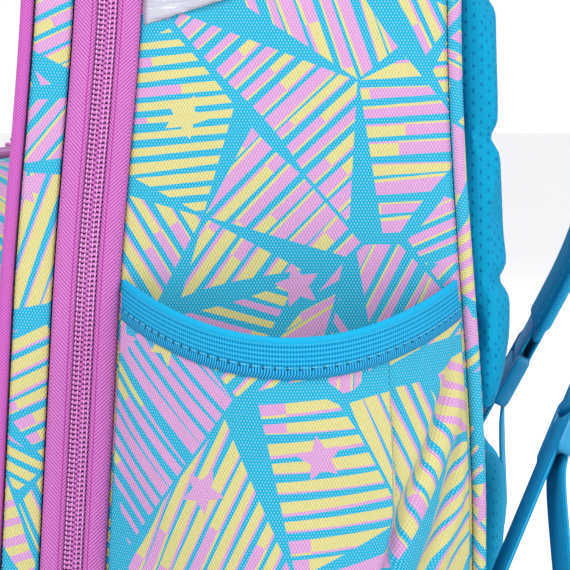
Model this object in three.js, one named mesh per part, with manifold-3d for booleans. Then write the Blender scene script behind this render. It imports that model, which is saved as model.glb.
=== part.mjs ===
// A primary-school backpack, in millimetres: +Z up, the front towards -Y, the wearer's back towards +Y.
// The bag is a row of arched bands (front cover, zip, sides) closed by a front panel and a curved back
// panel, standing in a moulded base tray. The zip plane leans back a little, so everything in front of
// it is modelled in a leaning group. The origin is under the middle of the bounding box, on the ground.
import * as THREE from "three";
import { mergeVertices } from "three/addons/utils/BufferGeometryUtils.js";
import Module from "manifold-3d";

const wasm = await Module();
wasm.setup();

// Driving dimensions.
const GAP = 0.3; // between pieces that touch
const CURVE_STEPS = 7; // straight steps in a quarter turn of an outline
const BODY = { half: 140, top: 400, radius: 70 }; // the arched outline of the bag
const WALL = 4; // foam-backed fabric
const FOOT_HEIGHT = 6;
const TRAY_TOP = 33.6;
const SEAM_Y_AT_GROUND = -133.5; // where the side panels meet the zip tape, if carried down to the ground
const LEAN = Math.atan(0.056); // how far the zip plane leans back
const SWAY = 5.25; // half the travel of the back's S curve
const SWAY_LOW = 80;
const SWAY_HIGH = 285;
const PANEL_FOOT = 34; // where the fabric starts above the tray
const PANEL_SPLIT = 305; // the seam of the side and top panels, under the reflective strips

const ZIP = { tape: 8.4, coil: 3.3, mid: 0.5, tapeThick: 1.2, coilProud: 0.8, coilDeep: 2 };
const ZIP_WIDTH = 2 * (ZIP.tape + ZIP.coil + ZIP.mid);
const COVER_DEPTH = 14; // the front cover's own side band
const PANEL_THICK = 4;
const SLIDER_CLEAR = 1.2; // over the coil, so that the opening half can rise out of the slider

const POCKET = { half: 112, top: 222, radius: 42, foot: 66, split: 146, wall: 3 };
const POCKET_ZIP = { tape: 5, coil: 2.2, mid: 0.4, tapeThick: 1, coilProud: 0.7, coilDeep: 1.6 };
const POCKET_ZIP_WIDTH = 2 * (POCKET_ZIP.tape + POCKET_ZIP.coil + POCKET_ZIP.mid);
const POCKET_FRAME_DEPTH = 15;
const POCKET_LID_DEPTH = 5.5;

// Side pockets: how far they stand out at the mouth and at the floor, and how their mouth sags.
const BOTTLE = { bulgeMouth: 48, bulgeFloor: 40, round: 18, mouthMid: 165.5, mouthEnd: 182, floor: 38, cloth: 1.8 };
const BINDING = { height: 14.5, proud: 1.1 };
const BINDING_LOW = BOTTLE.mouthMid - 2 * BINDING.height; // below all of the binding
const PIPING_RADIUS = 2.5;
const STRIP = { foot: 274.2, climb: 34, width: 19 }; // the reflective strip that climbs across each side

const PADS = { inner: 16, outer: 130, foot: 122, top: 336, thick: 13, radius: 18 };
const LUMBAR = { half: 90, foot: 48, top: 114, thick: 14 };
const DIVIDER = { front: -34, rear: -30, foot: 13, top: 262, radius: 14 };
const YOKE = { half: 88, foot: 342, top: 368 };
const STRAP_PAD = { half: 29, taper: 6, halfThick: 5.5 };
const TRAY = { beyond: 1, front: -174.6, wall: 3.5, radius: 16 };

const WEB_WIDTH = 25;
const WEB_THICK = 1.6;
const SWING_GAP = 1.2; // where a strap turns on its sewn end

const COLOURS = {
  print: [0x6fc3d8, 0.85],
  mesh: [0x0aa5dc, 0.9],
  cyan: [0x12a6dc, 0.7],
  pink: [0xd877c8, 0.7],
  silver: [0xc9cbd6, 0.35],
  tray: [0x1583b8, 0.6],
  rubber: [0x3a3d45, 0.8],
  board: [0xe8e6df, 0.6],
  lining: [0x7fd0e6, 0.9],
  plastic: [0x2b9fd0, 0.45],
};

// ---- solids, skins and pieces ----

function material(name) {
  const [color, roughness] = COLOURS[name];
  return new THREE.MeshStandardMaterial({ name, color, roughness, metalness: 0 });
}

function solid(geometry) {
  const bare = geometry.clone();
  bare.deleteAttribute("normal");
  bare.deleteAttribute("uv");
  const merged = mergeVertices(bare, 1e-4);
  return new wasm.Manifold(
    new wasm.Mesh({
      numProp: 3,
      vertProperties: new Float32Array(merged.attributes.position.array),
      triVerts: new Uint32Array(merged.index.array),
    }),
  );
}

function geometryOf(made) {
  const mesh = made.getMesh();
  const geometry = new THREE.BufferGeometry();
  geometry.setAttribute("position", new THREE.BufferAttribute(mesh.vertProperties, 3));
  geometry.setIndex(new THREE.BufferAttribute(mesh.triVerts, 1));
  geometry.computeVertexNormals();
  return geometry;
}

function piece(group, name, shape, colour) {
  const geometry = shape.isBufferGeometry ? shape : geometryOf(shape);
  const mesh = new THREE.Mesh(geometry, material(colour));
  mesh.name = name;
  group.add(mesh);
  return mesh;
}

function box(x, y, z) {
  const geometry = new THREE.BoxGeometry(x[1] - x[0], y[1] - y[0], z[1] - z[0]);
  return geometry.translate((x[0] + x[1]) / 2, (y[0] + y[1]) / 2, (z[0] + z[1]) / 2);
}

function extrude(shape, depth, curveSegments = CURVE_STEPS) {
  return new THREE.ExtrudeGeometry(shape, { depth, bevelEnabled: false, curveSegments });
}

// A shape drawn in x and z, carried from y0 to y1.
function alongY(shape, y0, y1) {
  return extrude(shape, y1 - y0).rotateX(Math.PI / 2).translate(0, y1, 0);
}

// A shape drawn in y and z, carried from x0 to x1.
function alongX(shape, x0, x1) {
  return extrude(shape, x1 - x0).rotateX(Math.PI / 2).rotateZ(Math.PI / 2).translate(x0, 0, 0);
}

// A closed skin over rings of equally many points, with a fan over each end, facing out whichever way
// the rings turn.
function loft(rings) {
  const count = rings[0].length;
  const index = [];
  rings.slice(1).forEach((_, r) => {
    for (let i = 0; i < count; i++) {
      const a = r * count + i;
      const b = r * count + ((i + 1) % count);
      index.push(a, b, b + count, a, b + count, a + count);
    }
  });
  const last = (rings.length - 1) * count;
  for (let i = 1; i < count - 1; i++) {
    index.push(0, i + 1, i);
    index.push(last, last + i, last + i + 1);
  }
  const corners = rings.flat();
  let volume = 0;
  for (let i = 0; i < index.length; i += 3) {
    const [a, b, c] = index.slice(i, i + 3).map((k) => corners[k]);
    volume += a.dot(b.clone().cross(c));
  }
  const geometry = new THREE.BufferGeometry();
  geometry.setFromPoints(corners);
  geometry.setIndex(volume > 0 ? index : index.reverse());
  return geometry;
}

// A band with rounded edges that follows a line of points in `perSpan` straight steps between each two,
// its width kept level along x.
function band(points, halfWidth, halfThick, perSpan = 3) {
  const curve = new THREE.CatmullRomCurve3(points);
  const steps = perSpan * (points.length - 1);
  const section = [[1, 0.45], [0.9, 1], [-0.9, 1], [-1, 0.45], [-1, -0.45], [-0.9, -1], [0.9, -1], [1, -0.45]];
  const rings = Array.from({ length: steps + 1 }, (_, i) => {
    const share = i / steps;
    const along = curve.getTangent(share);
    const wide = new THREE.Vector3(1, 0, 0).addScaledVector(along, -along.x).normalize();
    const thick = new THREE.Vector3().crossVectors(along, wide);
    const half = typeof halfWidth === "function" ? halfWidth(share) : halfWidth;
    const centre = curve.getPoint(share);
    return section.map(([w, t]) =>
      centre.clone().addScaledVector(wide, w * half).addScaledVector(thick, t * halfThick),
    );
  });
  return loft(rings);
}

// ---- outlines ----

// The arch seen from the front: straight sides, round top corners, a flat top, open at the foot.
function archShape(form, inset, foot) {
  const half = form.half - inset;
  const top = form.top - inset;
  const radius = form.radius - inset;
  const shape = new THREE.Shape();
  shape.moveTo(half, foot);
  shape.lineTo(half, top - radius);
  shape.absarc(half - radius, top - radius, radius, 0, Math.PI / 2, false);
  shape.absarc(radius - half, top - radius, radius, Math.PI / 2, Math.PI, false);
  shape.lineTo(-half, foot);
  shape.closePath();
  return shape;
}

// An arched band between two insets of a form, from y0 to y1.
function archBand(form, outer, inner, foot, y0, y1) {
  const outside = solid(alongY(archShape(form, outer, foot), y0, y1));
  return outside.subtract(solid(alongY(archShape(form, inner, foot - 20), y0 - 5, y1 + 5)));
}

// How far back the bag's rear seam lies at a height.
function backY(z) {
  const share = THREE.MathUtils.clamp((z - SWAY_LOW) / (SWAY_HIGH - SWAY_LOW), 0, 1);
  return SWAY * Math.cos(Math.PI * share) + 0.45;
}

// Where the side panels meet the zip tape at a height.
function seamY(z) {
  return SEAM_Y_AT_GROUND + z * Math.tan(LEAN);
}

const HEIGHTS = Array.from({ length: 16 }, (_, i) => PANEL_FOOT + (i * (410 - PANEL_FOOT)) / 15);

// A slab that follows the back's S curve, from `near` to `far` behind the rear seam.
function backSlab(near, far, z0, z1, x0, x1) {
  const levels = [z0, ...HEIGHTS.filter((z) => z > z0 + 1 && z < z1 - 1), z1];
  const shape = new THREE.Shape([
    ...levels.map((z) => new THREE.Vector2(backY(z) + far, z)),
    ...levels.toReversed().map((z) => new THREE.Vector2(backY(z) + near, z)),
  ]);
  return solid(alongX(shape, x0, x1));
}

function roundedRectangle(x0, x1, z0, z1, radius) {
  const shape = new THREE.Shape();
  shape.moveTo(x0 + radius, z0);
  shape.absarc(x1 - radius, z0 + radius, radius, -Math.PI / 2, 0, false);
  shape.absarc(x1 - radius, z1 - radius, radius, 0, Math.PI / 2, false);
  shape.absarc(x0 + radius, z1 - radius, radius, Math.PI / 2, Math.PI, false);
  shape.absarc(x0 + radius, z0 + radius, radius, Math.PI, 1.5 * Math.PI, false);
  return shape;
}

// ---- the bag's walls ----

function walls(group) {
  const clear = 400;
  const between = new THREE.Shape([
    ...HEIGHTS.map((z) => new THREE.Vector2(backY(z), z)),
    new THREE.Vector2(seamY(HEIGHTS.at(-1)) + GAP, HEIGHTS.at(-1)),
    new THREE.Vector2(seamY(PANEL_FOOT) + GAP, PANEL_FOOT),
  ]);
  const region = solid(alongX(between, -clear, clear));
  const whole = archBand(BODY, 0, WALL, PANEL_FOOT, -clear, clear).intersect(region);
  const side = (x0, x1) => whole.intersect(solid(box([x0, x1], [-clear, clear], [0, PANEL_SPLIT])));
  piece(group, "right_side_panel", side(0, clear), "print");
  piece(group, "left_side_panel", side(-clear, 0), "print");
  const above = solid(box([-clear, clear], [-clear, clear], [PANEL_SPLIT + GAP, 500]));
  piece(group, "top_panel", whole.intersect(above), "print");

  const inset = WALL + 1.8;
  const outline = solid(alongY(archShape(BODY, inset, PANEL_FOOT), -50, 50));
  piece(group, "back_panel", backSlab(GAP, 6, PANEL_FOOT, 410, -clear, clear).intersect(outline), "mesh");
  const inside = solid(alongY(archShape(BODY, WALL + GAP, PANEL_FOOT + 2), -50, 50));
  const sheet = backSlab(-2.2, -GAP, PANEL_FOOT + 2, 410, -clear, clear).intersect(inside);
  piece(group, "back_stiffener", sheet, "board");
}

// A cord of piping along the arch, at an inset of it and at y(z), in steps of at most `stride`.
function piping(form, inset, foot, y, radius, stride) {
  const flat = archShape(form, inset, foot).getPoints(CURVE_STEPS).slice(0, -1);
  const line = [];
  flat.slice(0, -1).forEach((p, i) => {
    const next = flat[i + 1];
    const parts = Math.max(1, Math.round(p.distanceTo(next) / stride));
    for (let k = 0; k < parts; k++) line.push(p.clone().lerp(next, k / parts));
  });
  line.push(flat.at(-1));
  const ring = (p, i) => {
    const before = line[Math.max(0, i - 1)];
    const after = line[Math.min(line.length - 1, i + 1)];
    const along = after.clone().sub(before).normalize();
    return Array.from({ length: 8 }, (_, k) => {
      const turn = (k * Math.PI) / 4;
      const out = radius * Math.cos(turn);
      return new THREE.Vector3(p.x + out * along.y, y(p.y) - radius * Math.sin(turn), p.y - out * along.x);
    });
  };
  return loft(line.filter((p, i) => i === 0 || p.distanceTo(line[i - 1]) > 0.5).map(ring));
}

function backPads(group) {
  const near = 6 + GAP;
  const pad = (name, x0, x1, z0, z1, thick) => {
    const outline = solid(alongY(roundedRectangle(x0, x1, z0, z1, PADS.radius), -60, 60));
    piece(group, name, backSlab(near, near + thick, z0, z1, x0, x1).intersect(outline), "mesh");
  };
  const { inner, outer, foot, top, thick } = PADS;
  pad("back_pad_right", inner, outer, foot, top, thick);
  pad("back_pad_left", -outer, -inner, foot, top, thick);
  pad("back_pad_lumbar", -LUMBAR.half, LUMBAR.half, LUMBAR.foot, LUMBAR.top, LUMBAR.thick);
}

// ---- base ----

// A rounded rectangle in plan at height z, as a ring of points.
function planRing(x, y0, y1, radius, inset, z) {
  const shape = roundedRectangle(-x + inset, x - inset, y0 + inset, y1 - inset, Math.max(radius - inset, 3));
  return shape.getPoints(4).slice(0, -1).map((p) => new THREE.Vector3(p.x, p.y, z));
}

function base(group) {
  const x = BODY.half + TRAY.beyond;
  const y0 = TRAY.front;
  const y1 = backY(PANEL_FOOT) + 6;
  const floor = FOOT_HEIGHT + GAP;
  const outer = [[9, 0], [4, 2.5], [1, 8], [0, 14], [0, TRAY_TOP - floor]];
  const inner = [[10, TRAY.wall], [4.5, 8], [TRAY.wall, 14], [TRAY.wall, TRAY_TOP]];
  const rings = (levels) => levels.map(([inset, up]) => planRing(x, y0, y1, TRAY.radius, inset, floor + up));
  piece(group, "base_tray", solid(loft(rings(outer))).subtract(solid(loft(rings(inner)))), "tray");
  const board = roundedRectangle(-x + 12, x - 12, y0 + 12, y1 - 12, 8);
  piece(group, "base_board", extrude(board, 2).translate(0, 0, floor + TRAY.wall + GAP), "board");
  const feet = [["front_left", -104, -140], ["front_right", 104, -140], ["rear_left", -104, -26], ["rear_right", 104, -26]];
  feet.forEach(([where, fx, fy]) => {
    const profile = [[0, 0], [10.5, 0], [12.5, 2], [12.5, FOOT_HEIGHT], [0, FOOT_HEIGHT]];
    const points = profile.map(([r, z]) => new THREE.Vector2(r, z));
    const foot = new THREE.LatheGeometry(points, 16).rotateX(Math.PI / 2).translate(fx, fy, 0);
    piece(group, "foot_" + where, foot, "rubber");
  });
}

// ---- side pockets ----

// The pocket's plan at a height: bulging out of the side panel between the two seams.
function pocketRing(z, grow, seamGap) {
  const y0 = seamY(z) + seamGap;
  const y1 = backY(z) - seamGap;
  const rise = (z - BOTTLE.floor) / (BOTTLE.mouthMid - BOTTLE.floor);
  const tuck = Math.min(1, (z - BOTTLE.floor) / BOTTLE.round);
  const bulge =
    BOTTLE.bulgeFloor + (BOTTLE.bulgeMouth - BOTTLE.bulgeFloor) * rise + grow -
    BOTTLE.round * (1 - Math.sqrt(1 - (1 - tuck) ** 2));
  const steps = 20;
  const ring = Array.from({ length: steps + 1 }, (_, i) => {
    const turn = (Math.PI * i) / steps;
    const side = -Math.cos(turn);
    const y = (y0 + y1) / 2 + (side * (y1 - y0)) / 2 + grow * side;
    return new THREE.Vector3(BODY.half + GAP + bulge * Math.sin(turn) ** 2, y, z);
  });
  const back = grow < 0 ? -6 : 0;
  ring[0].x += back;
  ring[steps].x += back;
  return ring;
}

function pocketBody(grow, z0, z1) {
  const { floor, round } = BOTTLE;
  const shared = [floor + 5, floor + 12, floor + round, BINDING_LOW].filter((z) => z > z0 + 2);
  const levels = [z0, ...shared, z1];
  return solid(loft(levels.map((z) => pocketRing(z, grow, 1.2))));
}

// Everything above z0 and more than `drop` below the sagging line of the mouth.
function underMouth(drop, z0) {
  const y0 = seamY(BOTTLE.mouthEnd) - 1;
  const y1 = backY(BOTTLE.mouthEnd) + 1;
  const beyond = 15;
  const shape = new THREE.Shape();
  shape.moveTo(y0 - beyond, z0);
  shape.lineTo(y1 + beyond, z0);
  shape.lineTo(y1 + beyond, BOTTLE.mouthEnd - drop);
  const steps = 12;
  for (let i = 0; i <= steps; i++) {
    const across = 1 - (2 * i) / steps;
    const z = BOTTLE.mouthMid + (BOTTLE.mouthEnd - BOTTLE.mouthMid) * across ** 2 - drop;
    shape.lineTo((y0 + y1) / 2 + (across * (y1 - y0)) / 2, z);
  }
  shape.lineTo(y0 - beyond, BOTTLE.mouthEnd - drop);
  return solid(alongX(shape, 100, 260));
}

function sidePockets(group) {
  const { cloth, floor } = BOTTLE;
  const high = BOTTLE.mouthEnd + 8;
  const low = BINDING_LOW;
  const bag = pocketBody(0, floor, high)
    .subtract(pocketBody(-cloth, floor + cloth, high + 4))
    .intersect(underMouth(1.6, 0));
  const fold = pocketBody(BINDING.proud, low, high).subtract(pocketBody(-cloth - BINDING.proud, low - 5, high + 4));
  const strip = fold.intersect(underMouth(0, 0)).subtract(underMouth(BINDING.height, -1));
  const slot = pocketBody(GAP, low - 4, high).subtract(pocketBody(-cloth - GAP, low - 8, high + 4));
  const binding = strip.subtract(slot.intersect(underMouth(1.2, 0)));
  const mirrored = (made) => made.mirror([1, 0, 0]);
  piece(group, "right_side_pocket", bag, "print");
  piece(group, "left_side_pocket", mirrored(bag), "print");
  const outside = solid(box([BODY.half + GAP, 400], [-300, 100], [0, 400]));
  piece(group, "right_pocket_binding", binding.intersect(outside), "cyan");
  piece(group, "left_pocket_binding", mirrored(binding.intersect(outside)), "cyan");
}

// The reflective strip: an arc across the side, over the seam of the side and top panels.
function reflectiveStrips(group) {
  const lower = (share) => STRIP.foot + STRIP.climb * share;
  const y0 = seamY(290) + 1.4;
  const y1 = backY(290) - 1.2;
  const shares = [0, 0.15, 0.3, 0.45, 0.6, 0.8, 1];
  const at = (share, up) => new THREE.Vector2(y0 + share * (y1 - y0), lower(share) + up);
  const shape = new THREE.Shape([
    ...shares.map((share) => at(share, 0)),
    ...shares.toReversed().map((share) => at(share, STRIP.width)),
  ]);
  const x = BODY.half + GAP;
  piece(group, "right_reflective_strip", alongX(shape, x, x + 1), "silver");
  piece(group, "left_reflective_strip", alongX(shape, -x - 1, -x), "silver");
}

// ---- zips ----

// Half of a zip chain that follows an arch: its tape and its row of coil. `middle` is the chain's centre
// line and `way` is +1 for the half behind it.
function zipHalf(form, zip, foot, middle, way) {
  const span = (a, b) => [middle + way * a, middle + way * b].sort((p, q) => p - q);
  const [c0, c1] = span(zip.mid, zip.mid + zip.coil);
  const [t0, t1] = span(zip.mid + zip.coil - 0.5, zip.mid + zip.coil + zip.tape - GAP);
  const coil = archBand(form, -zip.coilProud, zip.coilDeep, foot, c0, c1);
  return coil.add(archBand(form, 0, zip.tapeThick, foot, t0, t1));
}

// A slider with its bridge, over the chain at x 0: two plates joined by a thin blade between the rows.
function sliderBody(zip, size) {
  const over = zip.coilProud + SLIDER_CLEAR;
  const under = zip.coilDeep + 0.6;
  const half = zip.coil + 1.6 * size;
  const reach = 7 * size;
  const plate = solid(box([-reach, reach], [-half, half], [over, over + 1.8]));
  const inner = solid(box([-reach, reach], [-half, half], [-under - 1.5, -under]));
  const blade = solid(box([-2, 2], [-0.2, 0.2], [-under - 1, over + 1]));
  const bridge = solid(box([-4, 4], [-1.3, 1.3], [over + 1.5, over + 5.6]));
  const eye = solid(box([-2.2, 2.2], [-3, 3], [over + 1.8, over + 4.3]));
  return plate.add(inner).add(blade).add(bridge.subtract(eye));
}

// The pull tab, hinged on a cross pin through the bridge at height `pin`, lying along -x.
function pullTab(pin, length) {
  const arm = (y0, y1) => solid(box([-9, 0.8], [y0, y1], [pin - 0.8, pin + 0.8]));
  const cross = solid(box([-0.8, 0.8], [-3.2, 3.2], [pin - 0.8, pin + 0.8]));
  const tab = roundedRectangle(-length, -8.4, -4.2, 4.2, 2.6);
  const body = solid(extrude(tab, 2.4, 2).translate(0, 0, pin - 1.2));
  return cross.add(arm(1.8, 3.2)).add(arm(-3.2, -1.8)).add(body);
}

function puller(group, name, zip, top, x, y, way, size) {
  const pin = zip.coilProud + SLIDER_CLEAR + 1.8 + 1.3;
  const at = new THREE.Group();
  at.position.set(x, y, top);
  at.rotation.z = way > 0 ? Math.PI : 0;
  group.add(at);
  piece(at, name + "_slider", sliderBody(zip, size), "pink");
  piece(at, name + "_pull_tab", pullTab(pin, 34 * size), "pink");
}

// ---- everything in front of the zip seam, in the leaning group ----

function frontCover(group) {
  const middle = -ZIP_WIDTH / 2;
  piece(group, "main_zip_rear_half", zipHalf(BODY, ZIP, PANEL_FOOT, middle, 1), "pink");
  piece(group, "main_zip_front_half", zipHalf(BODY, ZIP, PANEL_FOOT, middle, -1), "pink");
  puller(group, "main_left", ZIP, BODY.top, -11, middle, -1, 1);
  puller(group, "main_right", ZIP, BODY.top, 11, middle, 1, 1);

  const rear = -ZIP_WIDTH - GAP;
  const front = rear - COVER_DEPTH;
  piece(group, "cover_side_band", archBand(BODY, 0, WALL, PANEL_FOOT, front, rear), "print");
  const outer = front - GAP;
  const panel = alongY(archShape(BODY, 5.8, PANEL_FOOT), outer - PANEL_THICK, outer);
  piece(group, "cover_front_panel", panel, "print");
  const pipe = piping(BODY, 2.8, PANEL_FOOT, () => outer - PIPING_RADIUS - 0.1, PIPING_RADIUS, 400);
  piece(group, "cover_piping", pipe, "pink");
  return outer - PANEL_THICK;
}

function frontPocket(group, face) {
  const { half, foot, split, wall } = POCKET;
  const back = face - GAP;
  const rim = back - POCKET_FRAME_DEPTH;
  const lidBack = rim - POCKET_ZIP_WIDTH - GAP;
  const lidFront = lidBack - POCKET_LID_DEPTH;
  const outer = lidFront - GAP;
  const floorTop = foot + wall;

  const ring = archBand(POCKET, 0, wall, floorTop + GAP, outer, back);
  const above = solid(box([-200, 200], [outer - 1, rim], [split - GAP, 300]));
  piece(group, "front_pocket_frame", ring.subtract(above), "print");
  piece(group, "front_pocket_floor", box([-half, half], [outer - 3, back], [foot, floorTop]), "print");
  const low = box([-half, half], [outer - 3, outer - GAP], [floorTop + GAP, split - GAP]);
  piece(group, "front_pocket_lower_panel", low, "print");

  const middle = rim - POCKET_ZIP_WIDTH / 2;
  piece(group, "pocket_zip_rear_half", zipHalf(POCKET, POCKET_ZIP, split, middle, 1), "pink");
  piece(group, "pocket_zip_front_half", zipHalf(POCKET, POCKET_ZIP, split, middle, -1), "pink");
  puller(group, "pocket", POCKET_ZIP, POCKET.top, -56, middle, -1, 0.85);
  piece(group, "pocket_lid_band", archBand(POCKET, 0, wall, split, lidFront, lidBack), "print");
  const panel = alongY(archShape(POCKET, 4.6, split), outer - 3, outer);
  piece(group, "pocket_lid_panel", panel, "print");
  const pipe = piping(POCKET, 2.2, split, () => outer - 2.1, 2, 400);
  piece(group, "pocket_lid_piping", pipe, "cyan");

  const strip = roundedRectangle(-104, 104, 262, 280, 3);
  piece(group, "front_reflective_strip", alongY(strip, face - GAP - 1, face - GAP), "silver");
}

// ---- carrying system ----

// The middle line of the right strap's pad, from its sewn end on the yoke, over the top and down.
const STRAP_ROOT = [[40, 6.5, 343], [41, 11.6, 356], [42, 15.3, 371]];
const STRAP_LINE = [
  [42.2, 15.9, 373.4], [43.5, 20, 387], [46.5, 35, 396], [51.5, 60, 390], [58, 82, 358], [66, 92, 302],
  [75, 89, 241], [84, 74, 184], [91, 54, 140],
];
const WEB_END = new THREE.Vector3(119, 19, 66); // where the webbing leaves its wing tab

function points(list) {
  return list.map((p) => new THREE.Vector3(...p));
}

// A frame at the end of the strap pad: x across the webbing, z up along it, y out of its face.
function webbingFrame() {
  const start = new THREE.Vector3(...STRAP_LINE.at(-1));
  const up = start.clone().sub(WEB_END);
  const length = up.length();
  up.normalize();
  const wide = new THREE.Vector3(1, 0, 0).addScaledVector(up, -up.x).normalize();
  const out = new THREE.Vector3().crossVectors(up, wide);
  const frame = new THREE.Group();
  frame.applyMatrix4(new THREE.Matrix4().makeBasis(wide, out, up).setPosition(start));
  frame.updateMatrix();
  return { frame, length };
}

const LOCK = { layer: 2.4, bars: [-12, -22, -32], top: -8, foot: -35, bar: 1.1 };

// A ladder lock: two rails and three bars. The pad's loop goes round the top bar and the webbing round
// the middle one.
function ladderLock() {
  const inner = WEB_WIDTH / 2 + 0.8;
  const rail = (side) => {
    const x = [inner, inner + 3.6].map((v) => side * v).sort((a, b) => a - b);
    return solid(box(x, [-3.8, 3.8], [LOCK.foot, LOCK.top]));
  };
  const bar = (z) => solid(box([-inner - 1, inner + 1], [-LOCK.bar, LOCK.bar], [z - 1.5, z + 1.5]));
  return [rail(1), rail(-1), ...LOCK.bars.map(bar)].reduce((a, b) => a.add(b));
}

function shoulderStrap(group, side, way) {
  const { frame, length } = webbingFrame();
  const place = (shape) => solid(shape.clone().applyMatrix4(frame.matrix));
  const web = (line) => place(band(points(line), WEB_WIDTH / 2, WEB_THICK / 2, 1));
  const { layer } = LOCK;
  const turn = [[-layer, 0.5], [-1.8, 2.4], [0, 3.4], [1.8, 2.4], [layer, 0.5]];
  const over = (bar, facing) => turn.map(([y, z]) => [0, y, bar + facing * z]);
  const [loopBar, webBar] = LOCK.bars;
  const padHalf = (share) => STRAP_PAD.half - STRAP_PAD.taper * share ** 2;
  const pad = solid(band(points(STRAP_LINE), padHalf, STRAP_PAD.halfThick));
  const loop = web([[0, -layer, 3], ...over(loopBar, -1), [0, layer, 3]]);
  const lock = ladderLock().transform(Array.from(frame.matrix.elements));
  const webbing = web([[0, -layer, SWING_GAP - length], ...over(webBar, 1), [0, layer, LOCK.foot + 3.3]]);
  const tail = web([[0, layer, LOCK.foot + 2.3], [0, 4.4, -43], [0, 14, -62], [0, 30, -92]]);
  const tab = band(points([[119.5, 18.2, 64.6], [121.6, 15.4, 54], [123, 14, 42]]), (share) => 12.5 + 2 * share, 1.3);
  const mirrored = (made) => (way < 0 ? made.mirror([1, 0, 0]) : made);
  piece(group, side + "_shoulder_strap", mirrored(pad.add(loop)), "cyan");
  piece(group, side + "_strap_webbing", mirrored(webbing), "cyan");
  piece(group, side + "_ladder_lock", mirrored(lock), "plastic");
  piece(group, side + "_webbing_tail", mirrored(tail), "cyan");
  piece(group, side + "_wing_tab", mirrored(solid(tab)), "cyan");
}

// The panel that both straps are sewn to, with the sewn ends of their pads.
function strapYoke(group) {
  const { half, foot, top } = YOKE;
  const outline = solid(alongY(roundedRectangle(-half, half, foot, top, 8), -60, 60));
  const slab = backSlab(6 + GAP, 9, foot, top, -half, half).intersect(outline);
  const behind = backSlab(6 + GAP, 60, foot - 12, top + 52, -100, 100);
  const root = solid(band(points(STRAP_ROOT), STRAP_PAD.half, STRAP_PAD.halfThick));
  const ends = root.add(root.mirror([1, 0, 0])).intersect(behind);
  piece(group, "strap_yoke", slab.add(ends), "cyan");
}

// The webbing handle that stands on two sewn tabs and folds about the line through them.
function grabHandle(group) {
  const y = backY(BODY.top) - 3.2;
  const foot = BODY.top + 5.3;
  const line = [[-50, foot], [-50, foot + 15], [-44, 436.5], [-30, 442.5], [0, 444]];
  const whole = [...line, ...line.slice(0, -1).toReversed().map(([x, z]) => [-x, z])];
  const curve = new THREE.CatmullRomCurve3(whole.map(([x, z]) => new THREE.Vector3(x, y, z)));
  const steps = 16;
  const rings = Array.from({ length: steps + 1 }, (_, i) => {
    const share = i / steps;
    const along = curve.getTangent(share);
    const out = new THREE.Vector3(-along.z, 0, along.x);
    const fat = 0.8 + 3.4 * Math.sin(Math.PI * share) ** 3;
    const section = [[11, 0.4], [8.5, 1], [-8.5, 1], [-11, 0.4], [-11, -0.4], [-8.5, -1], [8.5, -1], [11, -0.4]];
    const centre = curve.getPoint(share);
    return section.map(([w, t]) => centre.clone().addScaledVector(out, w).add(new THREE.Vector3(0, t * fat, 0)));
  });
  piece(group, "grab_handle", loft(rings), "cyan");
  [[-50, "left"], [50, "right"]].forEach(([x, side]) => {
    const patch = solid(box([x - 12, x + 12], [y - 22, y + 0.8], [BODY.top + GAP, BODY.top + 1.9]));
    const stub = solid(box([x - 11, x + 11], [y - 0.8, y + 0.8], [BODY.top + 1, foot - 1.3]));
    piece(group, "handle_anchor_" + side, patch.add(stub), "cyan");
  });
}

// ---- inside ----

function divider(group) {
  const half = BODY.half - WALL - GAP;
  const shape = roundedRectangle(-half, half, DIVIDER.foot, DIVIDER.top, DIVIDER.radius);
  piece(group, "padded_divider", alongY(shape, DIVIDER.front, DIVIDER.rear), "lining");
}

// ---- assembly ----

const backpack = new THREE.Group();
const leaning = new THREE.Group();
leaning.position.y = SEAM_Y_AT_GROUND;
leaning.rotation.x = -LEAN;
backpack.add(leaning);

walls(backpack);
const backCord = (z) => backY(z) + PIPING_RADIUS + 0.4;
piece(backpack, "back_piping", piping(BODY, 2.8, PANEL_FOOT, backCord, PIPING_RADIUS, 45), "print");
backPads(backpack);
base(backpack);
sidePockets(backpack);
reflectiveStrips(backpack);
const face = frontCover(leaning);
frontPocket(leaning, face);
shoulderStrap(backpack, "right", 1);
shoulderStrap(backpack, "left", -1);
strapYoke(backpack);
grabHandle(backpack);
divider(backpack);

backpack.updateMatrixWorld(true);
const bounds = new THREE.Box3().setFromObject(backpack, true);
backpack.position.y = -(bounds.min.y + bounds.max.y) / 2;

export default backpack;
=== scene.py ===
"""The school backpack's visual model, in the CAD's frame and in metres: +Z up, the front towards -Y.

The cloth panels, zips, pockets, straps and pads are built along the same seam lines as the CAD. Each
piece rides the CAD body that it belongs to, and cloth that crosses a joint is left in place on no body.
"""

import math

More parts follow.
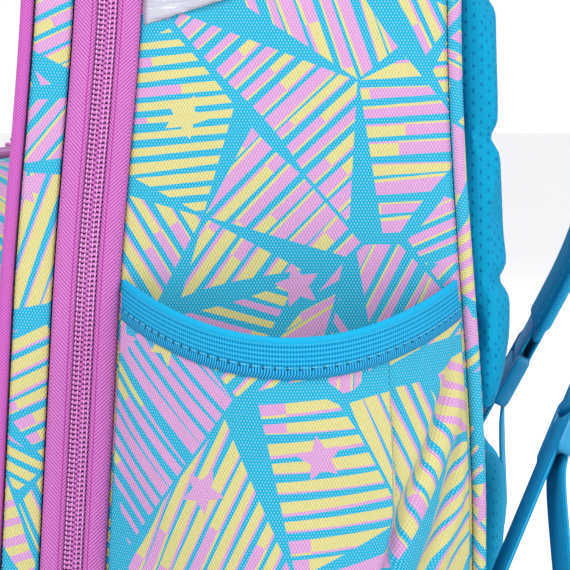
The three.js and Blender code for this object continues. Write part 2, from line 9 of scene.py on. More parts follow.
import bmesh
import bpy
import numpy as np
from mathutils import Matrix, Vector


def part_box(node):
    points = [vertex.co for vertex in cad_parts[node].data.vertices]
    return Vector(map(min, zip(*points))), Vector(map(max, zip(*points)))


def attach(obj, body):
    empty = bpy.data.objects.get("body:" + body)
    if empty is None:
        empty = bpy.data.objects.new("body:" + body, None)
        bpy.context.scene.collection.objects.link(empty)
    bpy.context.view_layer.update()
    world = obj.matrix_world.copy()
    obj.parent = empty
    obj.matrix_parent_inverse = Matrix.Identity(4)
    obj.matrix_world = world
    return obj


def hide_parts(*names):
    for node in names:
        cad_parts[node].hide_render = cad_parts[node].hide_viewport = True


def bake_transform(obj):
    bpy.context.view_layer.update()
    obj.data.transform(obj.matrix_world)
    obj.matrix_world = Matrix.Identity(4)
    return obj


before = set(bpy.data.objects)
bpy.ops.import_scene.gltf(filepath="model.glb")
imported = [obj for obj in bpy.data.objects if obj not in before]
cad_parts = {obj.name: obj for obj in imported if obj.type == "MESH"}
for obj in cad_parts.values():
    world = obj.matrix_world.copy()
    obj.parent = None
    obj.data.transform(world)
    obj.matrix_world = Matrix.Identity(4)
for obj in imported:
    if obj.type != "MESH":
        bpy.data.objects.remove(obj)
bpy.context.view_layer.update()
MM = 0.001
TURN = 2 * math.pi

# ---- driving lines, read from the CAD's boxes ----

PANEL_LOW, PANEL_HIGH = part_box("right_side_panel")
HALF = PANEL_HIGH.x  # the side panels' outer face
FOOT = PANEL_LOW.z  # where the cloth starts
SPLIT = PANEL_HIGH.z  # the seam of the side and top panels
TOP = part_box("top_panel")[1].z
LEAN = math.atan(0.056)  # how far the zip plane leans back
SWAY = 5.25 * MM  # half the travel of the back's S curve
SWAY_LOW = 80 * MM
SWAY_HIGH = 285 * MM
BACK = PANEL_HIGH.y - SWAY  # the middle of that travel
SEAM_AT_GROUND = BACK - 133.95 * MM
GAP = 0.3 * MM  # what the CAD leaves between neighbours
PAST_BACK = 0.15 * MM  # how far the cloth runs past the back seam
PANEL_INSET = 5.4 * MM  # from the bag's outline to the edge of the cover's and the back's panels
BODY = (HALF, TOP, 70 * MM)  # half width, top and corner radius of the bag's arch
ZIP_HALF = 12.2 * MM
COVER_REAR = -24.7 * MM  # the cover's side band, measured from the zip seam
COVER_FRONT = -38.7 * MM
COVER_FACE = COVER_FRONT - GAP
POCKET = (112 * MM, 222 * MM, 42 * MM)  # the front pocket's arch
POCKET_FOOT = 66 * MM
POCKET_SPLIT = 146 * MM  # where its lid starts
POCKET_ZIP_HALF = 7.6 * MM
POCKET_BACK = COVER_FACE - 4 * MM - GAP  # its layers, counted forwards from the cover
POCKET_RIM = POCKET_BACK - 15 * MM
LID_BACK = POCKET_RIM - 2 * POCKET_ZIP_HALF - GAP
LID_FRONT = LID_BACK - 5.5 * MM
LID_FACE = LID_FRONT - GAP


def back_y(z):
    share = np.clip((z - SWAY_LOW) / (SWAY_HIGH - SWAY_LOW), 0, 1)
    return BACK + SWAY * np.cos(math.pi * share)


def mm(*values):
    """Numbers or points in millimetres, in metres."""
    return np.array(values, float) * MM


def smooth(low, high, value):
    share = np.clip((value - low) / (high - low), 0, 1)
    return share * share * (3 - 2 * share)


def bow(z):
    """How far the cloth's zip seam bows back from a straight line, between the pocket and the top."""
    depth = 2.8 * MM
    start, full, fading, end = 0.17, 0.285, 0.30, 0.385
    return depth * smooth(start, full, z) * (1 - smooth(fading, end, z))


def seam_y(z):
    return SEAM_AT_GROUND + z * math.tan(LEAN) + bow(z)


def lean(points):
    """Points of the leaning zip plane's own frame, in the bag's frame."""
    p = np.asarray(points, float)
    y = SEAM_AT_GROUND + p[..., 1] * math.cos(LEAN) + p[..., 2] * math.sin(LEAN)
    z = p[..., 2] * math.cos(LEAN) - p[..., 1] * math.sin(LEAN)
    return np.stack([p[..., 0], y + bow(z), z], -1)


def spread(x, y, z):
    """Points from coordinates that are broadcast to one shape."""
    return np.stack(np.broadcast_arrays(x, y, z), -1)


def puff(share, power):
    """0 at both edges and 1 in the middle. A higher power gives a flatter middle."""
    return 1 - np.abs(2 * share - 1) ** power


def arch(form, foot, step):
    """Stations along an arch, from its right foot over the top: length, x, z and the outward normal."""
    half, top, radius = form
    side = top - radius - foot
    turn = math.pi * radius / 2
    flat = 2 * (half - radius)
    total = 2 * side + 2 * turn + flat
    s = np.linspace(0, total, max(8, math.ceil(total / step)) + 1)
    angle = np.clip((s - side) / radius, 0, math.pi / 2)
    angle = angle + np.clip((s - side - turn - flat) / radius, 0, math.pi / 2)
    nx, nz = np.cos(angle), np.sin(angle)
    across = np.clip(s - side - turn, 0, flat)
    x = (half - radius) - across + radius * nx
    z = np.minimum(foot + s, top - radius) + radius * nz
    z = z - np.clip(s - side - 2 * turn - flat, 0, None)
    return s, x, z, nx, nz


def along_arch(form, foot, step, profile, on_back=False):
    """A profile of (y, height) pairs carried along an arch. Rows run along it, columns over the profile."""
    s, x, z, nx, nz = arch(form, foot, step)
    y, height = np.asarray(profile, float).T
    px = x[:, None] + nx[:, None] * height
    pz = z[:, None] + nz[:, None] * height
    if on_back:
        return spread(px, y + back_y(pz), pz), s
    return lean(spread(px, y, pz)), s


def filled_arch(form, inset, foot, rows, cols):
    """A grid that fills an arch: x, z, and the shares across (-1 to 1) and up (0 to 1)."""
    half, top, radius = (size - inset for size in form)
    z = np.linspace(foot, top, rows)[:, None]
    over = np.clip(z - (top - radius), 0, radius)
    width = half - radius + np.sqrt(np.maximum(radius**2 - over**2, 0))
    across = np.linspace(-1, 1, cols)[None, :]
    return width * across, z, across, (z - foot) / (top - foot)


# ---- meshes ----


def tidy_normals(mesh):
    made = bmesh.new()
    made.from_mesh(mesh)
    bmesh.ops.recalc_face_normals(made, faces=made.faces)
    made.to_mesh(mesh)
    made.free()


def new_object(name, mesh, look):
    obj = bpy.data.objects.new(name, mesh)
    bpy.context.scene.collection.objects.link(obj)
    mesh.materials.append(LOOKS[look])
    mesh.shade_smooth()
    return obj


def raw(name, verts, faces, look):
    mesh = bpy.data.meshes.new(name)
    mesh.from_pydata([tuple(v) for v in verts], [], faces)
    tidy_normals(mesh)
    return new_object(name, mesh, look)


def lengths(points, axis):
    """The running length along one axis of a grid of points, averaged over the other."""
    step = np.linalg.norm(np.diff(points, axis=axis), axis=-1).mean(axis=1 - axis)
    return np.concatenate([[0], np.cumsum(step)])


def quads(grid):
    """The four corners of every cell in a grid of numbers."""
    return np.stack([grid[:-1, :-1], grid[:-1, 1:], grid[1:, 1:], grid[1:, :-1]], -1).reshape(-1, 4)


def closed_up(grid):
    """A grid with its first column once more at its end."""
    return np.concatenate([grid, grid[:, :1]], 1)


def surface(name, points, look, closed=False, caps=False, uv=None, flip=False):
    """A grid of points as a mesh with a metric UV map. closed joins the last column to the first."""
    rows, cols = points.shape[:2]
    index = np.arange(rows * cols).reshape(rows, cols)
    if closed:
        ring, corner = closed_up(points), closed_up(index)
    else:
        ring, corner = points, index
    u, v = uv or (lengths(ring, 1), lengths(points, 0)[:, None])
    pairs = spread(u, v, np.zeros(ring.shape[:2]))[..., :2].reshape(-1, 2)
    order = -1 if flip else 1
    faces = quads(corner)[:, ::order].tolist()
    spots = quads(np.arange(len(pairs)).reshape(ring.shape[:2]))[:, ::order].ravel()
    if caps:
        faces += [index[0, ::-1].tolist(), index[-1].tolist()]
        first, last = np.arange(cols)[::-1], (rows - 1) * ring.shape[1] + np.arange(cols)
        spots = np.concatenate([spots, first, last])
    mesh = bpy.data.meshes.new(name)
    mesh.from_pydata(points.reshape(-1, 3).tolist(), [], faces)
    layer = mesh.uv_layers.new(name="metric")
    layer.data.foreach_set("uv", pairs[spots].astype(np.float32).ravel())
    return new_object(name, mesh, look)


def tube(name, points, look, caps=True):
    """A closed body from rings of points."""
    obj = surface(name, points, look, closed=True, caps=caps)
    tidy_normals(obj.data)
    return obj


def bake_modifiers(obj):
    bpy.context.view_layer.update()
    graph = bpy.context.evaluated_depsgraph_get()
    mesh = bpy.data.meshes.new_from_object(obj.evaluated_get(graph))
    obj.modifiers.clear()
    obj.data = mesh
    mesh.shade_smooth()
    return obj


def sheet(name, points, look, thickness, lined=False, **values):
    """A grid of points as cloth, thickened behind its face. Its inner face can have a lining."""
    obj = surface(name, points, look, **values)
    made = obj.modifiers.new("thick", "SOLIDIFY")
    made.thickness = thickness
    made.offset = -1
    if lined:
        obj.data.materials.append(LOOKS["lining"])
        made.material_offset = 1
    return bake_modifiers(obj)


def join(objs, name):
    bpy.ops.object.select_all(action="DESELECT")
    for o in objs:
        o.select_set(True)
    bpy.context.view_layer.objects.active = objs[0]
    bpy.ops.object.join()
    objs[0].name = name
    return objs[0]


def mirror(obj, name):
    """A copy of a piece, mirrored across the bag's middle."""
    twin = obj.copy()
    twin.data = obj.data.copy()
    twin.name = name
    bpy.context.scene.collection.objects.link(twin)
    for v in twin.data.vertices:
        v.co.x = -v.co.x
    twin.data.flip_normals()
    return twin


def place(obj, body, *nodes):
    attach(obj, body)
    if nodes:
        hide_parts(*nodes)


def side_name(way):
    return "right" if way > 0 else "left"


def unit(vectors):
    return vectors / np.linalg.norm(vectors, axis=-1, keepdims=True)


def sweep(line, sections, wide):
    """Rings of a section along a line. wide is the direction in which a section's first number counts."""
    line, wide = np.asarray(line, float), np.asarray(wide, float)
    along = unit(np.gradient(line, axis=0))
    w = unit(wide - along * (along @ wide)[:, None])
    out = np.cross(along, w)
    sections = np.broadcast_to(sections, (len(line), *np.shape(sections)[-2:]))
    return line[:, None] + w[:, None] * sections[..., :1] + out[:, None] * sections[..., 1:]


def circle(radius, count):
    turn = np.arange(count) * TURN / count
    return np.stack([np.cos(turn), np.sin(turn)], -1) * radius


def squared(count, power):
    """A unit circle drawn out towards a square. A lower power gives tighter corners."""
    ring = circle(1.0, count)
    return np.sign(ring) * np.abs(ring) ** power


def flat_section(half, thick, corner, rim):
    """A flat strap's cross-section: half its width and thickness, and how its corners are cut."""
    upper = [(-half, rim), (-half + corner, thick), (half - corner, thick), (half, rim)]
    return np.array(upper + [(x, -y) for x, y in reversed(upper)])


def running(line):
    """The length along a line, at each of its points."""
    return np.concatenate([[0], np.cumsum(np.linalg.norm(np.diff(line, axis=0), axis=1))])


def sample(points, s, want):
    return np.stack([np.interp(want, s, points[:, k]) for k in range(3)], -1)


def curve_through(points, count):
    """Evenly spaced points on a smooth curve through the given ones."""
    p = np.asarray(points, float)
    p = np.concatenate([[2 * p[0] - p[1]], p, [2 * p[-1] - p[-2]]])
    fine = []
    for i in range(1, len(p) - 2):
        t = np.linspace(0, 1, 24, endpoint=i == len(p) - 3)[:, None]
        a, b, c, d = p[i - 1 : i + 3]
        square = (2 * a - 5 * b + 4 * c - d) * t**2
        cube = (3 * b - a - 3 * c + d) * t**3
        fine.append(0.5 * (2 * b + (c - a) * t + square + cube))
    fine = np.concatenate(fine)
    s = running(fine)
    return sample(fine, s, np.linspace(0, s[-1], count))


def beads(name, rings, look):
    """Many small closed bodies in one mesh. rings counts bodies, rings, points of a ring, coordinates."""
    count, levels, sides = rings.shape[:3]
    index = np.arange(levels * sides).reshape(levels, sides)
    bead = quads(closed_up(index)).tolist() + [index[0].tolist(), index[-1, ::-1].tolist()]
    firsts = range(0, count * levels * sides, levels * sides)
    faces = [[first + corner for corner in face] for first in firsts for face in bead]
    return raw(name, rings.reshape(-1, 3), faces, look)


# A stitch's rings: places along it as shares of its length, thicknesses and heights as shares of its radius.
STITCH = ((-0.5, 0.35, -0.2), (-0.3, 0.9, 0.25), (0.0, 1.0, 0.4), (0.3, 0.9, 0.25), (0.5, 0.35, -0.2))


def stitches(name, line, out, look, pitch, length, radius):
    """A row of thread stitches along a line. out is the surface's normal at each of its points."""
    s = running(line)
    middles = np.arange(pitch, s[-1] - pitch / 2, pitch)
    at = sample(line, s, middles)
    forward = unit(sample(line, s, middles + pitch / 2) - at)
    up = unit(sample(out, s, middles))
    along, thick, height = np.array(STITCH).T[..., None]
    ring = circle(radius, 6)
    offsets = spread(along * length, thick * ring[:, 0], thick * ring[:, 1] + height * radius)
    axes = np.stack([forward, np.cross(up, forward), up], 1)
    return beads(name, at[:, None, None] + offsets @ axes[:, None], look)


# ---- materials ----

CLOTH_SHINE = 0.12  # the specular level of cloth
STUDIO = 0.615  # colours are stated as they look in the studio's light, which is brighter than 1


def srgb(r, g, b):
    def linear(v):
        v /= 255
        return v / 12.92 if v <= 0.04045 else ((v + 0.055) / 1.055) ** 2.4

    return (STUDIO * linear(r), STUDIO * linear(g), STUDIO * linear(b), 1)


CYAN = srgb(0, 186, 226)
PINK = srgb(228, 164, 222)
YELLOW = srgb(230, 221, 140)


def operator(operation, swapped=False):
    """A method of Value that adds a math node. swapped puts the value itself last."""

    def apply(self, *others):
        values = (*others, self) if swapped else (self, *others)
        return self.look.math(operation, *values)

    return apply


class Value:
    """A number in a material's node tree. Arithmetic on it adds the nodes that work it out."""

    __add__ = __radd__ = operator("ADD")
    __sub__ = operator("SUBTRACT")
    __rsub__ = operator("SUBTRACT", swapped=True)
    __mul__ = __rmul__ = operator("MULTIPLY")
    __truediv__ = operator("DIVIDE")
    __rtruediv__ = operator("DIVIDE", swapped=True)
    __pow__ = operator("POWER")
    __lt__ = operator("LESS_THAN")
    __gt__ = operator("LESS_THAN", swapped=True)
    __abs__ = operator("ABSOLUTE")
    at_least = operator("MAXIMUM")
    at_most = operator("MINIMUM")
    floor = operator("FLOOR")
    fract = operator("FRACT")
    sine = operator("SINE")

    def __init__(self, look, socket):
        self.look = look
        self.socket = socket

    def wave(self, period):
        return (self * (TURN / period)).sine()


class Look:
    """A material with a principled shader, and short names for the nodes that feed it."""

    def __init__(self, name, roughness, shine=CLOTH_SHINE, **values):
        self.material = bpy.data.materials.new(name)
        self.material.use_nodes = True
        self.tree = self.material.node_tree
        self.shader = self.tree.nodes["Principled BSDF"]
        self.shader.inputs["Roughness"].default_value = roughness
        self.shader.inputs["Specular IOR Level"].default_value = shine
        for key, value in values.items():
            self.shader.inputs[key].default_value = value

    def link(self, value, socket):
        if isinstance(value, Value):
            value = value.socket
        if isinstance(value, bpy.types.NodeSocket):
            self.tree.links.new(value, socket)
        else:
            socket.default_value = value

    def node(self, kind, *values, **settings):
        """A new node. settings are its own values, and values feed its first sockets."""
        made = self.tree.nodes.new("ShaderNode" + kind)
        for key, setting in settings.items():
            setattr(made, key, setting)
        for value, socket in zip(values, made.inputs):
            self.link(value, socket)
        return made

    def math(self, operation, *values):
        return Value(self, self.node("Math", *values, operation=operation).outputs[0])

    def combine(self, x, y, z=0.0):
        return self.node("CombineXYZ", x, y, z).outputs[0]

    def split(self, vector):
        return [Value(self, part) for part in self.node("SeparateXYZ", vector).outputs]

    def length(self, x, y):
        return self.math("SQRT", x * x + y * y)

    def metric(self, turn=0.0):
        """The piece's own UV map, in millimetres."""
        uv = self.node("UVMap", uv_map="metric").outputs[0]
        x, y, _ = self.split(uv)
        x, y = x * 1000.0, y * 1000.0
        if turn:
            c, s = math.cos(turn), math.sin(turn)
            x, y = x * c - y * s, x * s + y * c
        return x, y

    def place_mm(self):
        """The point's place in the bag's frame at rest, in millimetres."""
        at = self.node("TexCoord").outputs["Object"]
        return [part * 1000.0 for part in self.split(at)]

    def mix(self, share, a, b):
        made = self.node("Mix", data_type="RGBA")
        for value, socket in ((share, 0), (a, 6), (b, 7)):
            self.link(value, made.inputs[socket])
        return made.outputs[2]

    def noise(self, vector, scale, detail=2.0):
        made = self.node("TexNoise", vector)
        made.inputs["Scale"].default_value = scale
        made.inputs["Detail"].default_value = detail
        return Value(self, made.outputs[0])

    def voronoi(self, vector, feature, randomness):
        made = self.node("TexVoronoi", vector, voronoi_dimensions="2D", feature=feature)
        made.inputs["Scale"].default_value = 1.0
        made.inputs["Randomness"].default_value = randomness
        return made.outputs

    def cells(self, vector, randomness=1.0):
        """A cell's three random numbers, and the x and y of its middle."""
        near = self.voronoi(vector, "F1", randomness)
        return self.split(near["Color"]), self.split(near["Position"])[:2]

    def chance(self, x, y, z):
        """Three random numbers that belong to three others."""
        made = self.node("TexWhiteNoise", self.combine(x, y, z), noise_dimensions="3D")
        return self.split(made.outputs["Color"])

    def bump(self, height, distance_mm, strength=1.0):
        made = self.node("Bump")
        made.inputs["Strength"].default_value = strength
        made.inputs["Distance"].default_value = distance_mm * MM
        self.link(height, made.inputs["Height"])
        self.link(made.outputs[0], self.shader.inputs["Normal"])

    def colour(self, value):
        self.link(value, self.shader.inputs["Base Color"])
        return self.material


def shard_frame(look, x, y):
    """The wedge of the print's cell that a point is in, and whether it is in the cyan border round it."""
    cell = 76.0  # sizes are in millimetres
    tip, spread_out = 0.3, 0.105  # a spike's half width in the cell's middle, and its growth outwards
    four_wedges = 0.6  # the chance that a cell has four wedges, and not three
    at = look.combine(x * (1 / cell), y * (1 / cell))
    (r1, r2, _), (cx, cy) = look.cells(at)
    edge = Value(look, look.voronoi(at, "DISTANCE_TO_EDGE", 1.0)["Distance"]) * cell
    qx, qy = x - cx * cell, y - cy * cell
    start = r1 * TURN
    count = 3.0 + (r2 < four_wedges)
    wedge = ((look.math("ARCTAN2", qy, qx) - start) * (1 / TURN)).fract() * count
    sector = wedge.floor()
    part = wedge.fract()
    ray = part.at_most(1.0 - part) * TURN / count
    reach = look.length(qx, qy)
    spike = reach * ray.at_most(math.pi / 2).sine() < tip + reach * spread_out
    rim = (look.noise(at, 1.3, 0.0) - 0.38) * 14.0
    border = spike.at_least(edge < rim.at_least(0.7))
    facing = start + (sector + 0.5) * TURN / count
    return (cx, cy), (qx, qy), sector, facing, border


def shards(look, x, y):
    """The print's colour: shards of pink and yellow stripes with cyan spikes between them, and stars."""
    (cx, cy), (qx, qy), sector, facing, border = shard_frame(look, x, y)
    a, b, c = look.chance(cx * 7.3, cy * 7.3, sector)
    tilt = facing + (a - 0.5) * 1.1 + (b < 0.45) * (math.pi / 2)
    cosine, sine = look.math("COSINE", tilt), tilt.sine()
    across = qy * cosine - qx * sine
    along = qx * cosine + qy * sine
    pitch = 4.9 + a * 2.1
    run = across / pitch
    bar = run.floor()
    phase = run.fract()
    d, e, g = look.chance(bar * 0.37 + cx, cy + bar * 1.9, sector)
    solid = c < 0.26
    sparse = c > 0.94
    swap = d * 42.0 - 7.0 < along
    wide = 0.47 + e * 0.22 + along * ((g - 0.5) * 0.014)
    wide = wide * (1.0 - sparse * 0.72)
    thin = wide + (a > 0.3) * (0.05 + g * 0.14)
    first = phase < wide
    second = (phase < thin) - first
    ground = look.mix(solid, CYAN, PINK)
    main = look.mix(swap, YELLOW, look.mix(solid, PINK, YELLOW))
    stripes = look.mix(second, look.mix(first, ground, main), look.mix(swap, PINK, YELLOW))
    return star_over(look, x, y, look.mix(border, stripes, CYAN))


def star_over(look, x, y, colour):
    """Five-pointed stars scattered over a colour."""
    cell, tip, valley = 57.0, 8.4, 3.9  # a star's radius is tip at its points and valley between them
    x, y = x + 31.0, y + 17.0  # so that the stars' cells aren't the shards' cells
    (r1, r2, r3), (cx, cy) = look.cells(look.combine(x * (1 / cell), y * (1 / cell)), 0.8)
    qx, qy = x - cx * cell, y - cy * cell
    turn = look.math("ARCTAN2", qy, qx) + r1 * TURN
    fold = abs((turn * (5 / TURN)).fract() * 2.0 - 1.0)
    limit = 1.0 / (fold * (1 / tip) + (1.0 - fold) * (1 / valley))
    inside = (look.length(qx, qy) < limit) * (r2 < 0.62)
    return look.mix(inside, colour, look.mix(r3 < 0.5, YELLOW, PINK))


def printed(name, shift, turn=0.0):
    """Printed Oxford weave: knots of painted highlight over the print, with painted shade between threads.
    """
    look = Look(name, 0.68)
    x, y = look.metric(turn)
    x, y = x + shift[0], y + shift[1]
    warp, weft = 0.57, 1.07  # half the weave's pitches
    row = (y * (math.pi / weft)).sine()
    weave = (x * (math.pi / warp)).sine() * row
    # The knots are a painted highlight on the yarns.
    knot_highlight = weave.at_least(0.0) * abs(row)
    # Painted shade between the threads.
    painted_shade = (weave * -1.0).at_least(0.0) * 0.22
    colour = look.mix(knot_highlight**1.5 * 0.56, shards(look, x, y), srgb(252, 252, 254))
    colour = look.mix(painted_shade, colour, look.mix(0.6, colour, (0, 0, 0, 1)))
    look.bump(weave, 0.16, 0.7)
    return look.colour(colour)


def ribbed(name, base, light, painted_shade, pitch, turn, depth=0.12):
    """Woven tape with ribs across its metric map at an angle."""
    look = Look(name, 0.6)
    x, y = look.metric(turn)
    rib = y.wave(pitch)
    height = rib * 0.5 + x.wave(pitch * 0.8) * rib * 0.25
    # The lighter colour is a painted highlight on the ribs' crests, the darker one painted shade in their
    # valleys.
    colour = look.mix(height.at_least(0.0), base, light)
    colour = look.mix((height * -1.0).at_least(0.0), colour, painted_shade)
    look.bump(height, depth)
    return look.colour(colour)


def twill_tape(name, coil_mm, near_mm, far_mm):
    """Zip tape: twill ribs that turn back beside the coil and beside the outer edge."""
    look = Look(name, 0.6)
    x, y = look.metric()
    turned = (x < near_mm).at_least(x > far_mm)
    slant = x * (turned * 2.0 - 1.0)
    height = (y + slant).wave(1.45) + (y - slant).wave(0.7) * 0.25
    # The fold beside the coil and the stretch under the coil are darkened: painted shade.
    fold = (abs(x - near_mm) < 0.25).at_least(x < coil_mm)
    painted_shade = (height * -1.0).at_least(0.0) * 0.55
    # A painted highlight on the ribs' crests and painted shade in their valleys.
    colour = look.mix(height.at_least(0.0) * 0.6, srgb(224, 118, 210), srgb(242, 176, 236))
    colour = look.mix(painted_shade.at_least(fold * 0.8), colour, srgb(196, 50, 172))
    look.bump(height, 0.13)
    return look.colour(colour)


def binding_cloth(name):
    """Knitted elastic: slits above its stitch line and cords below. The map's x counts up from its foot."""
    look = Look(name, 0.6)
    x, y = look.metric()
    cords_top, hem_foot, foot_bend = 4.2, 13.3, 2.2
    column_pitch, row_pitch = 1.02, 1.65
    stitch_z, stitch_pitch, stitch_half = 4.5, 4.2, 0.85
    low = x < cords_top
    slant = (foot_bend - x).at_least(0.0) * 0.6
    column = (y + slant * low).wave(column_pitch)
    row = x.wave(row_pitch)
    cord = column.at_least(0.0)
    slit = cord * row.at_least(0.0)
    bead = (row * -1.0).at_least(0.0) * (0.55 + column * -0.45)
    hem = x > hem_foot
    body = (1.0 - hem) * (1.0 - low)
    # Painted shade in the slits, and in every other column of the corded band below.
    painted_shade = body * slit**0.6 + low * cord
    # A painted highlight on the knit's beads, on the other columns of the corded band and, faintly, over the
    # hem.
    light = body * (bead * 0.45) + hem * 0.03 + low * ((column * -1.0).at_least(0.0) * 0.4)
    u = (y * (1 / stitch_pitch)).fract() - 0.5
    v = (x - stitch_z) * (1 / stitch_half)
    # The stitch holes are painted shade.
    hole_shade = u * u * 60.0 + v * v < 1.0
    colour = look.mix(light, srgb(0, 178, 232), srgb(110, 218, 248))
    colour = look.mix(painted_shade * 0.95, colour, srgb(0, 82, 176))
    colour = look.mix(hole_shade * 0.8, colour, srgb(2, 58, 92))
    look.bump(light - painted_shade - hole_shade, 0.25)
    return look.colour(colour)


def mesh_map(look):
    """Millimetres across and up a piece, whichever way it faces."""
    px, py, pz = look.place_mm()
    nx, ny, _ = look.split(look.node("TexCoord").outputs["Normal"])
    sideways = abs(ny) < abs(nx)
    return py * sideways + px * (1.0 - sideways), pz


def spacer_mesh(name, by_uv=False):
    """Knitted spacer mesh with staggered oval holes, painted shade in them and a painted highlight on the
    knit.
    """
    look = Look(name, 0.85)
    x, y = look.metric() if by_uv else mesh_map(look)
    wide, tall = 3.1, 4.6  # the pitches of its holes
    column = (x * (1 / wide)).floor()
    lift = look.math("MODULO", abs(column), 2.0) * (tall / 2)
    u = (x * (1 / wide)).fract() - 0.5
    v = ((y + lift) * (1 / tall)).fract() - 0.5
    far = look.math("SQRT", u * u * (wide * wide * 2.2) + v * v * (tall * tall))
    hole_shade = look.math("SMOOTH_MAX", 1.0 - far * 0.95, 0.0, 0.15)
    knit = (x + y).wave(0.95) * (x - y).wave(0.95)
    # A painted highlight on the knit's raised loops.
    colour = look.mix(knit.at_least(0.0) * 0.5, srgb(2, 194, 250), srgb(56, 220, 255))
    # Painted shade in the holes.
    colour = look.mix(hole_shade.at_most(1.0), colour, srgb(2, 122, 204))
    look.bump(knit * 0.3 - hole_shade, 0.6)
    return look.colour(colour)


def reflective(name):
    """Silver tape with soft creases and a fine grid of glass beads."""
    look = Look(name, 0.34, shine=0.5, Metallic=0.35)
    x, y, z = look.place_mm()
    crease = look.noise(look.combine(y * 0.05, z * 0.25, x * 0.05), 1.0, 4.0)
    grain = (y + z).wave(0.8) * (y - z).wave(0.8)
    look.bump(crease + grain * 0.02, 0.9)
    # The colour follows the creases: a painted highlight on their crests and painted shade in their troughs.
    return look.colour(look.mix(crease, srgb(196, 196, 216), srgb(238, 238, 248)))


def grained(name, base, light, roughness, grain_mm, depth, **values):
    """Moulded plastic, rubber, lacquer, board or thread with a fine grain."""
    look = Look(name, roughness, shine=0.4 if roughness < 0.6 else 0.2, **values)
    at = look.combine(*look.place_mm())
    grain = look.noise(at, 1 / grain_mm, 3.0)
    cloud = look.noise(at, 0.03, 2.0)
    look.bump(grain, depth)
    return look.colour(look.mix(grain * 0.4 + cloud * 0.4, base, light))


def floor_paint(name):
    look = Look(name, 0.6)
    cloud = look.noise(look.combine(*look.place_mm()), 0.004)
    return look.colour(look.mix(cloud, (0.86, 0.86, 0.87, 1), (0.9, 0.9, 0.91, 1)))


def build_materials():
    # Each triple is a base colour, a painted highlight for ribs' crests and painted shade for their valleys.
    cyan = (srgb(11, 165, 222), srgb(70, 200, 238), srgb(12, 120, 184))
    pink = (srgb(214, 96, 200), srgb(238, 160, 232), srgb(176, 48, 152))
    lining = (srgb(126, 206, 228), srgb(160, 222, 238), srgb(96, 180, 210))
    coat = {"Coat Weight": 0.5}
    return {
        "side": printed("side_print", (12, 40)),
        "side_left": printed("side_print_left", (260, 20)),
        "pocket": printed("pocket_print", (173, 684)),
        "top": printed("top_print", (12, 40)),
        "cover": printed("cover_print", (470, 610)),
        "front_pocket": printed("front_pocket_print", (800, 90)),
        "bias": printed("bias_print", (333, 71), math.radians(52)),
        "tape": twill_tape("zip_tape", 3.2, 6.3, 12.2),
        "pocket_tape": twill_tape("pocket_zip_tape", 2.2, 4.4, 8.0),
        "coil": grained("zip_coil", srgb(226, 96, 208), srgb(246, 170, 238), 0.5, 0.8, 0.05),
        "coil_thread": grained("zip_thread", srgb(240, 160, 232), srgb(252, 214, 248), 0.7, 0.4, 0.05),
        "pink_web": ribbed("pink_piping", *pink, 0.9, math.radians(45)),
        "binding": binding_cloth("elastic_binding"),
        "web": ribbed("cyan_webbing", *cyan, 1.5, math.pi / 2, 0.25),
        "edge": ribbed("cyan_edge_tape", *cyan, 1.1, math.radians(40)),
        "thread": grained("cyan_thread", srgb(40, 176, 226), srgb(120, 214, 244), 0.5, 0.5, 0.05),
        "mesh": spacer_mesh("spacer_mesh"),
        "mesh_strap": spacer_mesh("strap_mesh", by_uv=True),
        "silver": reflective("reflective_tape"),
        "tray": grained("moulded_tray", srgb(20, 128, 184), srgb(34, 150, 206), 0.55, 0.7, 0.12),
        "rubber": grained("foot_rubber", srgb(52, 56, 66), srgb(70, 74, 84), 0.75, 0.5, 0.1),
        "board": grained("stiffener_board", srgb(226, 224, 214), srgb(240, 238, 230), 0.5, 1.2, 0.08),
        "lining": ribbed("lining_cloth", *lining, 0.7, 0.3),
        "metal": grained("slider_lacquer", srgb(212, 92, 190), srgb(226, 112, 204), 0.28, 3.0, 0.02, **coat),
        "pull": grained("pull_rubber", srgb(222, 116, 206), srgb(234, 140, 220), 0.5, 0.6, 0.06),
        "plastic": grained("buckle_plastic", srgb(20, 150, 206), srgb(40, 170, 220), 0.4, 1.0, 0.03),
        "floor": floor_paint("floor"),
    }


LOOKS = build_materials()


# ---- the camera, at the photograph's angle ----


def build_camera():
    distance = 0.8
    rise = math.radians(4.5)
    wide = 0.2079  # what the picture spans at the side panel
    target = Vector((HALF, -6.1 * MM, 180 * MM))
    camera = bpy.data.cameras.new("camera")
    camera.sensor_width = 36
    camera.lens = 36 * distance / wide
    obj = bpy.data.objects.new("camera", camera)
    bpy.context.scene.collection.objects.link(obj)
    away = Vector((math.cos(rise), 0, math.sin(rise)))
    obj.location = target + away * distance
    obj.rotation_euler = away.to_track_quat("Z", "Y").to_euler()
    bpy.context.scene.camera = obj


# ---- the bag's cloth panels ----

CLOTH = 2.5 * MM  # the thickness of the large panels
BAND_CLOTH = 2.2 * MM  # the thickness of the bands and the pocket's walls
POCKET_CLOTH = 2.0 * MM
SEAM_DEPTH = 1.6 * MM  # how far a panel's edges lie below the CAD's face
CROWN = 3.0 * MM  # how far its middle stands above its edges


def cushion(across, up, across_power, up_power):
    """1 over most of a panel and 0 at its edges. across runs from -1 to 1, and up from 0 to 1."""
    return (1 - np.abs(across) ** across_power) * puff(up, up_power)


def across_side(u, z):
    """The y at a share u of the way from the zip seam to the back seam."""
    front = seam_y(z) - GAP
    return front + u * (back_y(z) + PAST_BACK - front)


